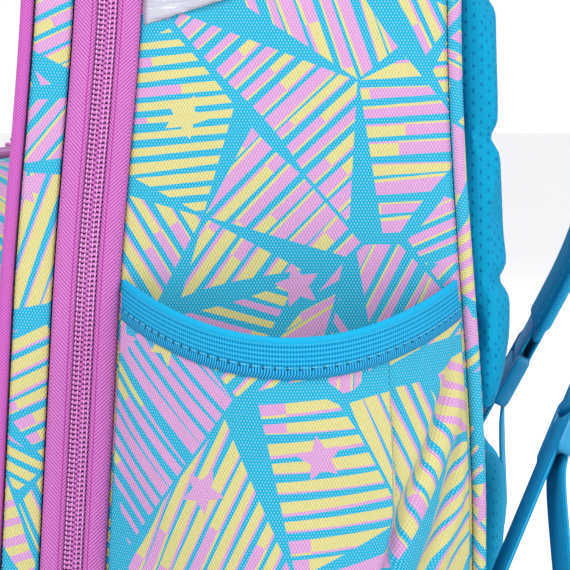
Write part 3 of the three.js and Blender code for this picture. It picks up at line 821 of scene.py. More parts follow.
def side_panel(way, look):
    """A side panel, drawn in at its seams and a little uneven."""
    z = np.linspace(FOOT - 1 * MM, SPLIT + 2 * MM, 110)[:, None]
    u = np.linspace(0, 1, 56)
    y = across_side(u, z)
    ripple = 0.5 * MM * np.sin(y * 95 + z * 40) * np.sin(z * 60 + 1.1) * puff(u, 2)
    x = HALF - SEAM_DEPTH + CROWN * puff(u, 6) + ripple
    points = spread(way * x, y, z)
    name = "side_panel_" + side_name(way)
    obj = sheet(name, points, look, CLOTH, lined=True, uv=(y, z), flip=way < 0)
    place(obj, "pack", side_name(way) + "_side_panel")


def top_panel():
    s, x, z, nx, nz = (part[:, None] for part in arch(BODY, SPLIT, 5 * MM))
    u = np.linspace(0, 1, 50)
    y = across_side(u, z)
    ripple = 0.6 * MM * np.sin(y * 80 + s * 50) * puff(u, 2)
    height = CROWN * puff(u, 6) - SEAM_DEPTH + ripple
    points = spread(x + nx * height, y, z + nz * height)
    obj = sheet("top_panel_cloth", points, "top", CLOTH, lined=True, uv=(y, s + SPLIT))
    place(obj, "pack", "top_panel")


def domed_arch(name, form, foot, face, dome, inset, look, rows=90, cols=90):
    """A cloth panel that fills an arch and swells forwards from its seams."""
    x, z, across, up = filled_arch(form, inset, foot, rows, cols)
    swell = cushion(across, up, 5, 7)
    ripple = 0.7 * MM * np.sin(x * 60 + z * 33) * np.sin(z * 47 + 0.6) * swell
    points = lean(spread(x, face - dome * swell - ripple, z))
    return sheet(name, points, look, CLOTH, lined=True, uv=(x, z))


def arch_cloth(name, form, foot, y0, y1, look):
    """A band of cloth along an arch, drawn in at both its edges."""
    share = np.linspace(0, 1, 12)
    y = y0 + (y1 - y0) * share
    height = 1.2 * MM * (puff(share, 4) - 1)
    points, s = along_arch(form, foot, 4 * MM, np.stack([y, height], -1))
    return sheet(name, points, look, BAND_CLOTH, lined=True, uv=(y, s[:, None]), flip=y1 < y0)


def piping(name, form, foot, inset, y, radius, look, on_back=False):
    """Covered cord along an arch."""
    profile = circle(radius, 12) + np.array([y, -inset])
    points, _ = along_arch(form, foot, 3 * MM, profile, on_back)
    return tube(name, points, look)


# ---- zips ----

# How far a tape's points lie from the coil, as shares of its width, and their heights in millimetres.
TAPE_ROLL = (
    (0.0, -0.6), (0.02, 0.5), (0.10, 0.9), (0.3, 1.35), (0.55, 1.5), (0.78, 1.1), (0.92, 0.3), (0.99, -0.7),
    (0.97, -1.6),
)
# A coil's wire: places from the zip's middle to the coil's edge, heights in millimetres, and thicknesses.
COIL_WIRE = ((-0.12, -0.35, 0.75), (0.1, 0.1, 1.0), (0.5, 0.3, 1.0), (0.85, 0.12, 1.0), (1.0, -0.5, 0.75))


def zip_tape(name, form, foot, middle, way, half, coil, look):
    """Half of a zip's tape: a soft roll beside the coil whose outer edge is turned under."""
    # Its first stretch runs under the coil, where the tape's colour is painted shade.
    profile = [(0.3 * MM, -1.0 * MM), (coil - 0.4 * MM, -1.0 * MM)]
    profile += [(coil + share * (half - coil), height * MM) for share, height in TAPE_ROLL]
    profile = np.array(profile) * np.array([way, 1]) + np.array([middle, 0])
    points, _ = along_arch(form, foot, 3 * MM, profile)
    return sheet(name, points, look, 0.7 * MM, flip=way < 0)


def zip_coil(name, form, foot, middle, way, reach, pitch, body):
    """One row of a zip's coil with the sewing thread over it. reach is the coil's half width."""
    _, x, z, nx, nz = arch(form, foot, pitch)
    centre, normal = spread(x, 0, z), spread(nx, 0, nz)
    tangent = unit(np.gradient(centre, axis=0))
    across, up, thick = np.array(COIL_WIRE).T[..., None]
    phase = 0.25 if way > 0 else 0.75
    ring = circle(0.36 * pitch, 6)
    forward = thick * ring[:, 0] + pitch * (phase + 0.22 * (across - 0.5))
    rise = thick * ring[:, 1] + up * MM
    rings = tangent[:, None, None] * forward[..., None] + normal[:, None, None] * rise[..., None]
    rings = rings + centre[:, None, None]
    rings[..., 1] += middle + way * reach * across
    place(beads(name, lean(rings), "coil"), body)
    for i, share in enumerate((0.34, 0.8)):
        line = centre + normal * (0.62 * pitch) + np.array([0, middle + way * share * reach, 0])
        seam = lean(line)
        out = lean(line + normal) - seam
        sizes = (pitch, 0.8 * pitch, 0.17 * pitch)
        place(stitches(f"{name}_thread_{i}", seam, out, "coil_thread", *sizes), body)


def zip_pair(name, form, foot, middle, half, coil, pitch, look, bodies):
    """Both halves of a zip. Their CAD nodes are called after it."""
    for way, end, body in ((1, "rear", bodies[0]), (-1, "front", bodies[1])):
        tape = zip_tape(f"{name}_tape_{end}", form, foot, middle, way, half, coil, look)
        place(tape, body, f"{name}_{end}_half")
        zip_coil(f"{name}_coil_{end}", form, foot, middle, way, coil, pitch, body)


# ---- side pockets ----

POCKET_MID = 165.5 * MM  # the mouth's height in its middle and at its ends
POCKET_END = 182 * MM
POCKET_FLOOR = 38 * MM
POCKET_ROUND = 18 * MM
BULGE_FLOOR = 40 * MM
BULGE_MOUTH = 48 * MM
CREASE_FOOT = 100 * MM
CREASES = (  # where a crease's line stands at CREASE_FOOT, its slope, its depth and the cloth it takes up
    (36.6 * MM, 0.38, 3.0 * MM, 7.5 * MM),
    (51.0 * MM, 0.35, 2.6 * MM, 6.5 * MM),
)
PLEAT = 0.55  # where a pocket's cloth is tucked, as a share from its middle to the back seam
# The binding's section: how far its points stand out, and their heights over the mouth, in millimetres.
BINDING = (
    (0.2, -14.7), (0.7, -14.5), (1.2, -13.6), (1.25, -12.2), (1.0, -11.2), (0.65, -10.5), (0.85, -9.9),
    (1.0, -8.5), (1.1, -5.0), (1.0, -2.2), (1.2, -1.4), (0.9, -0.4), (0.0, 0.15), (-1.2, 0.1), (-2.2, -0.6),
    (-2.7, -2.5), (-2.7, -8.0), (-2.6, -13.0), (-2.0, -13.4), (-1.0, -14.4),
)


def mouth_z(u):
    """The sagging line of a pocket's mouth, for a share u across it."""
    return POCKET_MID + (POCKET_END - POCKET_MID) * np.cos(math.pi * u) ** 2


def crease_offset(crease, y, z):
    """How far a point lies behind a crease's line, and how much of the crease is left at its height."""
    wander = 0.8 * MM * np.sin(z * 120 + crease[0] * 300)
    return y - crease[0] - crease[1] * (z - CREASE_FOOT) - wander, smooth(0.062, 0.086, z)


def slack(side, y, z, below):
    """How far a pocket's cloth stands off its smooth form: a tuck, creases behind it and soft hollows."""
    past = side + 0.012 * np.sin(z * 45) - PLEAT
    tuck = np.clip(past / 0.012, 0, 1) * np.exp(-np.clip(past, 0, 1) / 0.05)
    left = smooth(0.55, 0.7, -side) * (1 - smooth(0.9, 1.0, -side))
    hollow = np.sin(side * 5 + z * 38) * np.sin(z * 55 + 2.0) * (1 - side**2)
    out = -2.6 * MM * tuck + 0.6 * MM * left * np.sin(z * 70 + side * 9) + 0.8 * MM * hollow
    for crease in CREASES:
        off, share = crease_offset(crease, y, z)
        valley = np.exp(-((off / (2.3 * MM)) ** 2))
        ridge = np.exp(-(((off - 5.5 * MM) / (3.4 * MM)) ** 2))
        out = out + crease[2] * share * (0.5 * ridge - valley) * (1 - smooth(0.93, 1.0, side))
    return out * below


def taken_up(y, z, below):
    """The length of cloth that the creases in front of a point have taken up."""
    total = 0
    for crease in CREASES:
        off, share = crease_offset(crease, y, z)
        total = total + crease[3] * share * below * smooth(-2.6 * MM, 2.6 * MM, off)
    return total


def loose(u, z):
    """0 in the band that the binding holds flat, and 1 further down."""
    band, fade = 17 * MM, 20 * MM
    return np.clip((mouth_z(u) - band - z) / fade, 0, 1)


def pocket_point(u, z, out=0.0):
    """A point of a side pocket's cloth: u runs from the zip seam to the back seam."""
    u, z = np.broadcast_arrays(np.asarray(u, float), np.asarray(z, float))
    front, rear = seam_y(z) + 0.9 * MM, back_y(z) - 0.9 * MM
    half = (rear - front) / 2
    rise = (z - POCKET_FLOOR) / (POCKET_MID - POCKET_FLOOR)
    tuck = np.clip((z - POCKET_FLOOR) / POCKET_ROUND, 0, 1)
    bulge = BULGE_FLOOR + (BULGE_MOUTH - BULGE_FLOOR) * rise
    bulge = bulge - POCKET_ROUND * (1 - np.sqrt(1 - (1 - tuck) ** 2))
    side = -np.cos(math.pi * u)
    y = (front + rear) / 2 + side * half
    off = out + slack(side, y, z, loose(u, z))
    slope = 2 * bulge * side / half
    square = 1 / np.sqrt(1 + slope**2)
    x = HALF + 0.2 * MM + bulge * (1 - side**2) + off * square
    return np.stack([x, y + off * slope * square, z], -1)


def pocket_run(side, z, below):
    """The print's place along a pocket's cloth: half its length, half its y, and what the folds take up."""
    level, tucked = 110 * MM, 7 * MM  # where the run is measured, and the cloth that the tuck takes up
    front, rear = float(seam_y(level)), float(back_y(level))
    y = (front + rear) / 2 + side * (rear - front) / 2
    reach = np.hypot(np.gradient(y), np.gradient(BULGE_MOUTH * (1 - side**2)))
    run = 0.5 * np.cumsum(reach) + 0.5 * (y - front) + tucked * (side > PLEAT)
    return run + taken_up(y, z, below)


def side_pocket():
    """A side pocket's cloth and floor, each with its CAD node's name after the side."""
    side = np.linspace(-0.9995, 0.9995, 260)
    u = np.arccos(-side) / math.pi
    share = np.linspace(0, 1, 90)[:, None] ** 0.9
    z = POCKET_FLOOR + share * (mouth_z(u) - 3 * MM - POCKET_FLOOR)
    uv = (pocket_run(side, z, loose(u, z)), z)
    cloth = sheet("side_pocket_right", pocket_point(u, z), "pocket", 1.6 * MM, uv=uv)
    rim = pocket_point(np.linspace(0.002, 0.998, 60), POCKET_FLOOR + 0.4 * MM)
    inner = spread(HALF + 0.3 * MM, rim[:, 1], rim[:, 2])
    floor = sheet("side_pocket_floor_right", np.stack([inner, rim]), "pocket", 1.5 * MM, flip=True)
    return [(cloth, ("_side_pocket",)), (floor, ())]


def pocket_binding():
    """The elastic that binds a pocket's mouth: folded over the edge, with a corded lower edge."""
    u = np.linspace(0.001, 0.999, 420)
    top = mouth_z(u)
    free = 0.25 + 0.75 * np.sin(math.pi * u) ** 0.5  # less at the ends, where the seams hold it
    columns = [pocket_point(u, top + up * MM, (out * free - 0.6 * (1 - free)) * MM) for out, up in BINDING]
    band = tube("pocket_binding_right", np.stack(columns, 1), "binding")
    seam_z = top - 10.4 * MM
    line = pocket_point(u, seam_z, (0.8 * free - 0.5 * (1 - free)) * MM)
    out = pocket_point(u, seam_z, 3 * MM) - line
    sizes = mm(4.2, 3.0, 0.3)
    thread = stitches("pocket_binding_stitches_right", line, out, "thread", *sizes)
    return [(band, ("_pocket_binding",)), (thread, ())]


def both_sides(group):
    """Places right-hand pieces and their mirror images."""
    for obj, nodes in group:
        twin = mirror(obj, obj.name.replace("right", "left"))
        place(obj, "pack", *["right" + node for node in nodes])
        place(twin, "pack", *["left" + node for node in nodes])


def reflective_strip(way):
    """The strip that crosses a side near its top, rising towards the back."""
    level, foot, rise, wide = 0.29, 274.2 * MM, 34 * MM, 19 * MM
    u = np.linspace(0, 1, 60)
    front = seam_y(level)
    y = front + 0.2 * MM + u * (back_y(level) - front - 0.4 * MM)
    z = foot + rise * u + np.linspace(0, wide, 8)[:, None]
    ripple = 0.25 * MM * np.sin(y * 500) * np.sin(z * 300)
    x = HALF - 0.9 * MM + 3.2 * MM * puff(u, 6) + ripple
    name = "reflective_strip_" + side_name(way)
    obj = sheet(name, spread(way * x, y, z), "silver", 0.8 * MM, uv=(y, z), flip=way < 0)
    place(obj, "pack", side_name(way) + "_reflective_strip")


# ---- the back and its pads ----


def back_face(z):
    return back_y(z) + 6 * MM


def back_panel():
    """The mesh-covered back, cushioned a little and drawn in where it meets the piping."""
    x, z, across, up = filled_arch(BODY, PANEL_INSET, FOOT, 110, 90)
    y = back_y(z) + 2.4 * MM + 3.7 * MM * cushion(across, up, 8, 10)
    obj = sheet("back_panel_mesh", spread(x, y, z), "mesh", 3 * MM, flip=True)
    place(obj, "pack", "back_panel")


# A pad's rings, from the middle of its inner face to the middle of its outer face: sizes and heights.
PAD_RINGS = (
    (0.0, 0.0), (0.5, 0.0), (0.94, 0.0), (1.0, 0.08), (1.0, 0.4), (0.96, 0.75), (0.88, 0.94), (0.7, 1.0),
    (0.35, 1.0), (0.0, 1.0),
)


def rounded_slab(name, low, high, thick):
    """A pad with a rounded outline that fills a box and follows the back's curve, thinner at its edges."""
    edge = 3 * MM
    middle = np.array([low.x + high.x, low.z + high.z]) / 2
    outline = squared(96, 0.36) * (np.array([high.x - low.x, high.z - low.z]) / 2 - edge)
    rings = []
    for size, up in PAD_RINGS:
        x, z = (middle + outline * size).T
        rings.append(spread(x, back_face(z) + up * thick, z))
    return tube(name, np.stack(rings), "mesh", caps=False)


def swell_cloth(obj):
    """A short cloth simulation under pressure: where it leaves the points."""
    cloth = obj.modifiers.new("swell", "CLOTH")
    cloth.settings.use_pressure = True
    cloth.settings.uniform_pressure_force = 4.0
    cloth.settings.effector_weights.gravity = 0
    cloth.settings.quality = 4
    for number in range(1, 21):
        bpy.context.scene.frame_set(number)
    swollen = obj.evaluated_get(bpy.context.evaluated_depsgraph_get())
    end = np.array([v.co for v in swollen.to_mesh().vertices])
    swollen.to_mesh_clear()
    obj.modifiers.clear()
    bpy.context.scene.frame_set(1)
    return end


def inflate(obj, cap):
    """Swells a padded piece, and keeps each point within cap of its start."""
    made = obj.modifiers.new("even", "REMESH")
    made.mode = "VOXEL"
    made.voxel_size = 5 * MM
    bake_modifiers(obj)
    start = np.array([v.co for v in obj.data.vertices])
    move = swell_cloth(obj) - start
    far = np.linalg.norm(move, axis=1)[:, None]
    move *= np.minimum(1, cap / np.maximum(far, 1e-9))
    obj.data.vertices.foreach_set("co", (start + move).astype(np.float32).ravel())
    obj.modifiers.new("smooth", "SUBSURF").levels = 1
    bake_modifiers(obj)


def sew_channels(obj, axis, places):
    """Presses sewn channels into the outer face of a pad."""
    depth, reach, edge = 3.2 * MM, 4 * MM, 3 * MM
    for v in obj.data.vertices:
        proud = v.co.y - float(back_face(v.co.z)) - edge
        if proud < 0:
            continue
        near = min(abs(v.co[axis] - spot) for spot in places)
        v.co.y -= depth * math.exp(-((near / reach) ** 2)) * min(1, proud / (4 * MM))


def pad_over(node, thick, axis, shares):
    """A swollen mesh pad in the place of a CAD pad, with channels sewn across it."""
    low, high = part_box(node)
    pad = rounded_slab(node + "_cushion", low, high, thick)
    inflate(pad, 4.5 * MM)
    sew_channels(pad, axis, [low[axis] + (high[axis] - low[axis]) * share for share in shares])
    return pad


def back_pads():
    right = pad_over("back_pad_right", 10.5 * MM, 2, (0.27, 0.52, 0.77))
    left = mirror(right, "back_pad_left_cushion")
    lumbar = pad_over("back_pad_lumbar", 11.5 * MM, 0, (0.25, 0.5, 0.75))
    for pad, node in ((right, "back_pad_right"), (left, "back_pad_left"), (lumbar, "back_pad_lumbar")):
        place(pad, "pack", node)


def yoke():
    """The cloth that the straps' upper ends are sewn to."""
    low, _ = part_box("strap_yoke")
    half, crest = 88 * MM, 366 * MM
    across = np.linspace(-1, 1, 60)
    up = np.linspace(0, 1, 14)[:, None]
    z = low.z + 2 * MM + up * (crest - low.z)
    y = back_face(z) + 0.8 * MM + 2.6 * MM * cushion(across, up, 10, 6)
    obj = sheet("strap_yoke_cloth", spread(half * across, y, z), "edge", 2 * MM, flip=True)
    place(obj, "pack", "strap_yoke")


# ---- the right-hand strap, webbing and buckle, which are mirrored for the left ----

SIDEWAYS = (1, 0, 0)
# Points in millimetres, with y counted from the middle of the back's sway.
STRAP_LINE = (
    (40, 6.5, 343), (41, 11.6, 356), (42.1, 15.6, 372.2), (43.5, 20, 387), (46.5, 35, 396), (51.5, 60, 390),
    (58, 82, 358), (66, 92, 302), (75, 89, 241), (84, 74, 184), (91, 54, 140),
)
WEB_END = (119, 19, 66)  # the webbing's sewn end
TAB_LINE = ((119.3, 18.5, 65.2), (121.6, 15.4, 54), (122.6, 13.6, 44))
# The section of the strap's edging, in millimetres.
STRAP_RIM = ((-1.5, 1.6), (0.8, 1.7), (1.5, 1.0), (1.5, -1.0), (0.8, -1.7), (-1.5, -1.6), (-1.3, 0))
LOCK_BARS = (-12, -22, -32)  # millimetres along the webbing, from the strap's end


def design(*points):
    """Points of the carrying system, in the bag's frame."""
    return mm(*points) + np.array([0, BACK - 0.45 * MM, 0])


def strap_section(half, thick):
    """A pad's cross-section: full in the middle, thin at both edges."""
    t = np.linspace(-1, 1, 18)
    full = (1 - np.abs(t) ** 3.2) ** 0.6
    across = np.concatenate([t, t[::-1][1:-1]])
    out = np.concatenate([full, -full[::-1][1:-1]])
    return np.stack([across * half, out * thick], -1)


def beside(line, across, out):
    """A line that runs along another, moved across it and out of its face."""
    offsets = np.stack(np.broadcast_arrays(across, out), -1)
    return sweep(line, offsets[:, None], SIDEWAYS)[:, 0]


def strap_pad(line, half, share):
    """The strap's pad, thinner at both ends and pressed in along four channels."""
    full = np.clip(share / 0.03, 0.55, 1) * np.clip((1 - share) / 0.02, 0.5, 1)
    for spot in (0.36, 0.5, 0.64, 0.78):
        full = full * (1 - 0.3 * np.exp(-(((share - spot) / 0.008) ** 2)))
    sections = np.stack([strap_section(h, 5.0 * MM * f) for h, f in zip(half, full)])
    return tube("shoulder_strap_pad", sweep(line, sections, SIDEWAYS), "mesh_strap")


def strap_edging(line, half):
    rims = []
    for way in (-1, 1):
        middle = beside(line, way * half, 0)
        section = np.array(STRAP_RIM) * np.array([way, 1]) * MM
        rims.append(tube("strap_rim", sweep(middle, section, SIDEWAYS), "edge"))
    return join(rims, "shoulder_strap_edging")


def strap_stitches(line, half):
    """Rows of stitches inside both edges of a strap, on both its faces."""
    rows = []
    for way in (-1, 1):
        for face in (-1, 1):
            across = way * 0.84 * half
            seam = beside(line, across, face * 2.75 * MM)
            out = beside(line, across, face * 3.75 * MM) - seam
            rows.append(stitches("strap_seam", seam[4:-4], out[4:-4], "thread", *mm(4.4, 3.0, 0.4)))
    return join(rows, "shoulder_strap_stitches")


def shoulder_strap():
    """The padded strap, its edging and its stitches."""
    count = 260
    line = curve_through(design(*STRAP_LINE), count)
    share = np.linspace(0, 1, count)
    half = (29 - 6 * share**2) * MM
    pad_half = half - 1.5 * MM
    pad = strap_pad(line, pad_half, share)
    rim = strap_edging(line, half - 1.6 * MM)
    return pad, rim, strap_stitches(line, pad_half)


def webbing_frame():
    """The webbing's frame: its start at the strap's end, its length, and the axes across, out and up it."""
    start, end = design(STRAP_LINE[-1], WEB_END)
    up = unit(start - end)
    wide = unit(np.array(SIDEWAYS) - up * up[0])
    return start, np.linalg.norm(start - end), np.stack([wide, np.cross(up, wide), up])


def on_webbing(points):
    """Points in millimetres of the webbing's frame, in the bag's frame."""
    start, _, axes = webbing_frame()
    return start + mm(*points) @ axes


def web_strip(name, line, thick):
    """Flat webbing along a line of (out, up) pairs in the webbing's frame."""
    points = on_webbing([(0, out, up) for out, up in line])
    wide = webbing_frame()[2][0]
    section = flat_section(12.5 * MM, thick / 2, 0.6 * MM, 0.2 * thick)
    return tube(name, sweep(curve_through(points, 60), section, wide), "web")


def over_bar(bar, way):
    """A webbing's way round one of the buckle's bars."""
    turn = ((-2.4, 0.5), (-1.8, 2.4), (0, 3.4), (1.8, 2.4), (2.4, 0.5))
    return [(out, bar + way * up) for out, up in turn]


def ladder_lock():
    """The buckle: two rails and three bars."""
    wide, out, _ = webbing_frame()[2]
    outline = squared(16, 0.5)
    taper = np.interp(np.linspace(0, 1, 12), [0, 0.08, 0.92, 1], [0.8, 1, 1, 0.8])[:, None, None]
    parts = []
    for x in (-15.1, 15.1):
        line = on_webbing(np.linspace((x, 0, -8.3), (x, 0, -35), 12))
        section = outline * mm(1.8, 3.5)
        parts.append(tube("rail", sweep(line, section * taper, wide), "plastic"))
    for bar in LOCK_BARS:
        line = on_webbing(np.linspace((-14.3, 0, bar), (14.3, 0, bar), 8))
        section = outline * mm(1.05, 1.45)
        parts.append(tube("bar", sweep(line, section, out), "plastic"))
    return join(parts, "ladder_lock_right")


def wing_tab():
    """The tab at the bag's side that holds the webbing's end."""
    line = curve_through(design(*TAB_LINE), 30)
    half = np.linspace(12.6, 14.5, 30) * MM
    sections = np.stack([flat_section(h, 1.2 * MM, MM, 0.5 * MM) for h in half])
    return tube("wing_tab_cloth", sweep(line, sections, SIDEWAYS), "edge")


def carrying_side():
    """Everything of the right strap, in the order in which place_side takes it."""
    end = -webbing_frame()[1] / MM
    first, second, _ = LOCK_BARS
    loop_line = [(-2.4, 6), *over_bar(first, -1), (2.4, 6)]
    run_line = [(-2.4, end - 2.2), (-2.4, -60), *over_bar(second, 1), (2.4, -32.4)]
    tail_line = [(2.4, -32.2), (2.5, -36), (5.0, -44), (14, -62), (30, -92)]
    return (
        *shoulder_strap(),
        web_strip("strap_lock_loop", loop_line, 1.5 * MM),
        web_strip("strap_webbing_run", run_line, 1.6 * MM),
        web_strip("webbing_tail_run", tail_line, 1.6 * MM),
        ladder_lock(),
        wing_tab(),
    )


def place_side(way, pad, rim, seams, loop, web, tail, lock, tab):
    """Places one side's pieces. The strap and its webbing run are left where they are, on no body."""
    side = side_name(way)
    for piece in (pad, rim, seams):
        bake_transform(piece)
    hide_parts(side + "_shoulder_strap")
    place(loop, side + "_strap")
    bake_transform(web)
    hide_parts(side + "_strap_webbing")
    place(lock, side + "_strap", side + "_ladder_lock")
    place(tail, side + "_tail", side + "_webbing_tail")
    place(tab, "pack", side + "_wing_tab")


def straps():
    pieces = carrying_side()
    twins = [mirror(piece, piece.name + "_left") for piece in pieces]
    place_side(1, *pieces)
    place_side(-1, *twins)


# ---- the carrying handle ----

HANDLE_X = 50 * MM  # where its feet are
HANDLE_THICK = (0, 1, 0)  # the direction of the webbing's thickness
HANDLE_CREST = ((-44, 436.5), (-30, 442.5), (0, 444))  # half of its upper line, in millimetres


def grab_handle():
    """The handle's webbing with its padded grip, and the patches that its feet are sewn to."""
    y = float(back_y(TOP)) - 3.65 * MM
    foot = TOP + 5.3 * MM
    half = [(-HANDLE_X, TOP + 1.2 * MM), (-HANDLE_X, foot), (-HANDLE_X, foot + 15 * MM), *mm(*HANDLE_CREST)]
    corners = half + [(-x, z) for x, z in half[-2::-1]]
    line = curve_through([(x, y, z) for x, z in corners], 100)
    section = flat_section(11 * MM, 0.8 * MM, 0.6 * MM, 0.32 * MM)[:, ::-1]
    web = tube("grab_handle_webbing", sweep(line, section, HANDLE_THICK), "web")
    covered = slice(30, 70)  # the part of the line inside the grip
    fat = np.zeros((100, 1, 1))
    fat[covered, 0, 0] = 0.75 + 0.25 * puff(np.linspace(0, 1, 40), 8)
    section = squared(20, 0.8)[:, ::-1] * mm(4.1, 11.6)
    grip = tube("grab_handle_grip", sweep(line, section * fat, HANDLE_THICK)[covered], "edge")
    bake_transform(web)
    place(grip, "grab_handle", "grab_handle")
    for way in (-1, 1):
        x = way * HANDLE_X + np.linspace(-12, 12, 14) * MM
        patch_y = y + np.linspace(-22, 0.4, 12)[:, None] * MM
        points = spread(x, patch_y, TOP + 1.9 * MM)
        obj = sheet("handle_patch_" + side_name(way), points, "web", 1.5 * MM)
        place(obj, "pack", "handle_anchor_" + side_name(way))


# ---- the base and the inside ----

# Rings of the tray, from the middle of its underside over the rim to the middle of its floor: how far
# they are inset from its outline, and their heights, in millimetres.
TRAY_OUTER = (
    (40, 0), (12, 0), (9, 0), (6, 0.8), (4, 2.4), (2, 5.2), (1, 8), (0.3, 11.5), (0.3, 12.6), (1.0, 13.2),
    (1.0, 14.2), (0.2, 14.8), (0, 17.5), (0.9, 18.1), (0.9, 19.1), (0, 19.7), (0, 24.5), (0.1, 26.2),
    (0.7, 27.2),
)
TRAY_INNER = ((2.6, 27.3), (3.4, 26.8), (3.6, 25.5), (3.6, 15), (4.6, 8.4), (8, 4.4), (12, 3.6), (40, 3.5))
BOARD_RINGS = ((30, 0), (0.4, 0), (0, 0.4), (0, 1.6), (0.4, 2), (30, 2))
# A rubber foot's rings: shares of its radius and of its height.
FOOT_RINGS = ((0.3, 0), (0.78, 0), (0.84, 0.03), (0.96, 0.22), (1.0, 0.45), (1.0, 0.98), (0.3, 1.0))


def plan_ring(low, high, radius, inset, up):
    """A rounded rectangle inside a box's plan, at a height above the box's foot."""
    r = max(radius - inset, 3 * MM)
    x0, x1 = low.x + inset + r, high.x - inset - r
    y0, y1 = low.y + inset + r, high.y - inset - r
    quarters = []
    for k, (x, y) in enumerate(((x1, y1), (x0, y1), (x0, y0), (x1, y0))):
        angle = np.linspace(0, math.pi / 2, 20) + k * math.pi / 2
        quarters.append(spread(x + r * np.cos(angle), y + r * np.sin(angle), low.z + up))
    return np.concatenate(quarters)


def in_plan(name, node, radius, rings, look):
    """A piece of rounded rectangles, one above another, in the place of a CAD node."""
    low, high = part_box(node)
    points = np.stack([plan_ring(low, high, radius, inset * MM, up * MM) for inset, up in rings])
    place(tube(name, points, look), "pack", node)


def rubber_foot(node):
    low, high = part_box(node)
    middle = np.array([low.x + high.x, low.y + high.y]) / 2
    rings = []
    for share, up in FOOT_RINGS:
        x, y = (middle + circle(share * (high.x - low.x) / 2, 32)).T
        rings.append(spread(x, y, low.z + up * (high.z - low.z)))
    place(tube(node + "_rubber", np.stack(rings), "rubber"), "pack", node)


def base():
    in_plan("moulded_tray", "base_tray", 16 * MM, TRAY_OUTER + TRAY_INNER, "tray")
    in_plan("base_board_sheet", "base_board", 8 * MM, BOARD_RINGS, "board")
    for node in ("foot_front_left", "foot_front_right", "foot_rear_left", "foot_rear_right"):
        rubber_foot(node)


def divider():
    """The padded divider, narrower at its foot, with a bound hem along its top."""
    low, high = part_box("padded_divider")
    middle = (low.y + high.y) / 2
    up = np.linspace(0, 1, 40)[:, None]
    across = np.linspace(-1, 1, 60)
    z = low.z + 1 * MM + up * (high.z - low.z - 2 * MM)
    corner = 9 * MM
    narrow = corner * (np.clip((z - low.z) / corner, 0, 1) - 1)
    x = (high.x - 0.5 * MM + narrow) * across
    y = middle + 0.4 * MM + 1.5 * MM * cushion(across, up, 10, 10)
    cloth = sheet("divider_cloth", spread(x, y, z), "lining", 3.4 * MM, flip=True)
    place(cloth, "pack", "padded_divider")
    end = high.x - 1 * MM
    line = spread(np.linspace(-end, end, 40), middle, high.z - 2 * MM)
    section = circle(1.0, 14) * mm(3.0, 2.6)
    place(tube("divider_hem", sweep(line, section, (0, 0, 1)), "edge"), "pack")


def back_board():
    x, z, _, _ = filled_arch(BODY, 4.6 * MM, FOOT + 2 * MM, 80, 30)
    points = spread(x, back_y(z) - 0.4 * MM, z)
    obj = sheet("back_board_sheet", points, "board", 1.8 * MM, flip=True)
    place(obj, "pack", "back_stiffener")


# ---- sliders ----

SLIDER_RISE = np.array([0, math.sin(LEAN), math.cos(LEAN)])
SLIDER_ACROSS = np.array([0, math.cos(LEAN), -math.sin(LEAN)])
# A slider's bridge, along the zip and up, in millimetres.
BRIDGE = ((-3.4, 3.6), (-3.0, 6.2), (-1.4, 7.3), (1.4, 7.3), (3.0, 6.2), (3.4, 3.6))
# The wire loop that holds a pull tab, along the zip and across it, in millimetres.
WIRE = ((-0.4, -1.6), (1.0, 0), (-0.4, 1.6), (5, 2.3), (9.5, 2.0), (9.5, -2.0), (5, -2.3), (-0.4, -1.6))


class SliderPlace:
    """Where a slider stands on its zip. Points are in millimetres: along the zip, across it and up."""

    def __init__(self, way, x, y, z):
        self.way = way
        self.middle = lean([x, y, z])

    def at(self, points):
        axes = np.stack([np.array([1.0, 0, 0]), SLIDER_ACROSS, SLIDER_RISE])
        return self.middle + np.asarray(points, float) * MM @ axes

    def plate(self, z0, z1, half_x, half_y):
        """One of the slider's plates, narrower at the pull tab's end."""
        waist = 1 - 0.18 * self.way * circle(1.0, 32)[:, 0]
        x, y = (squared(32, 0.5) * np.array([half_x, half_y])).T
        levels = ((0.2, z0), (0.9, z0), (1.0, z0 + 0.3), (1.0, z1 - 0.5), (0.86, z1), (0.2, z1))
        rings = np.stack([spread(x * size, y * size * waist, z) for size, z in levels])
        return tube("plate", self.at(rings), "metal")

    def body(self, name, scale):
        """Two plates, and the bridge over the upper one."""
        half = (6.6 * scale, 4.6 * scale)
        line = curve_through(self.at([(x, 0, z) for x, z in BRIDGE]), 24)
        section = circle(1.0, 10) * mm(1.3, 0.7)
        plates = [self.plate(2.0, 3.8, *half), self.plate(-4.1, -2.6, *half)]
        return join(plates + [tube("bridge", sweep(line, section, SLIDER_ACROSS), "metal")], name)

    def pull(self, name, scale, pin):
        """The wire loop round the bridge, and the ribbed tab on it."""
        loop = [(self.way * x, y, pin) for x, y in WIRE]
        loop[1] = (self.way * WIRE[1][0], WIRE[1][1], pin + 0.1)
        line = curve_through(self.at(loop), 48)
        wire = tube("wire", sweep(line, circle(0.62 * MM, 8), SLIDER_RISE), "metal", caps=False)
        line = self.at([(self.way * x, 0, pin) for x in np.linspace(8.2, 34 * scale, 30)])
        t = np.linspace(0, 1, 30)
        half = (3.0 + 1.1 * np.sin(math.pi * np.clip(t * 1.15, 0, 1)) ** 0.7) * MM
        half = half * np.clip((1 - t) / 0.06, 0.35, 1) ** 0.5
        ribs = 1.15 * MM + 0.22 * MM * np.sin(t * 50) * (t > 0.35)
        sections = squared(16, 0.6) * np.stack([half, ribs], -1)[:, None]
        grip = tube("grip", sweep(line, sections, SLIDER_ACROSS), "pull")
        return join([wire, grip], name)


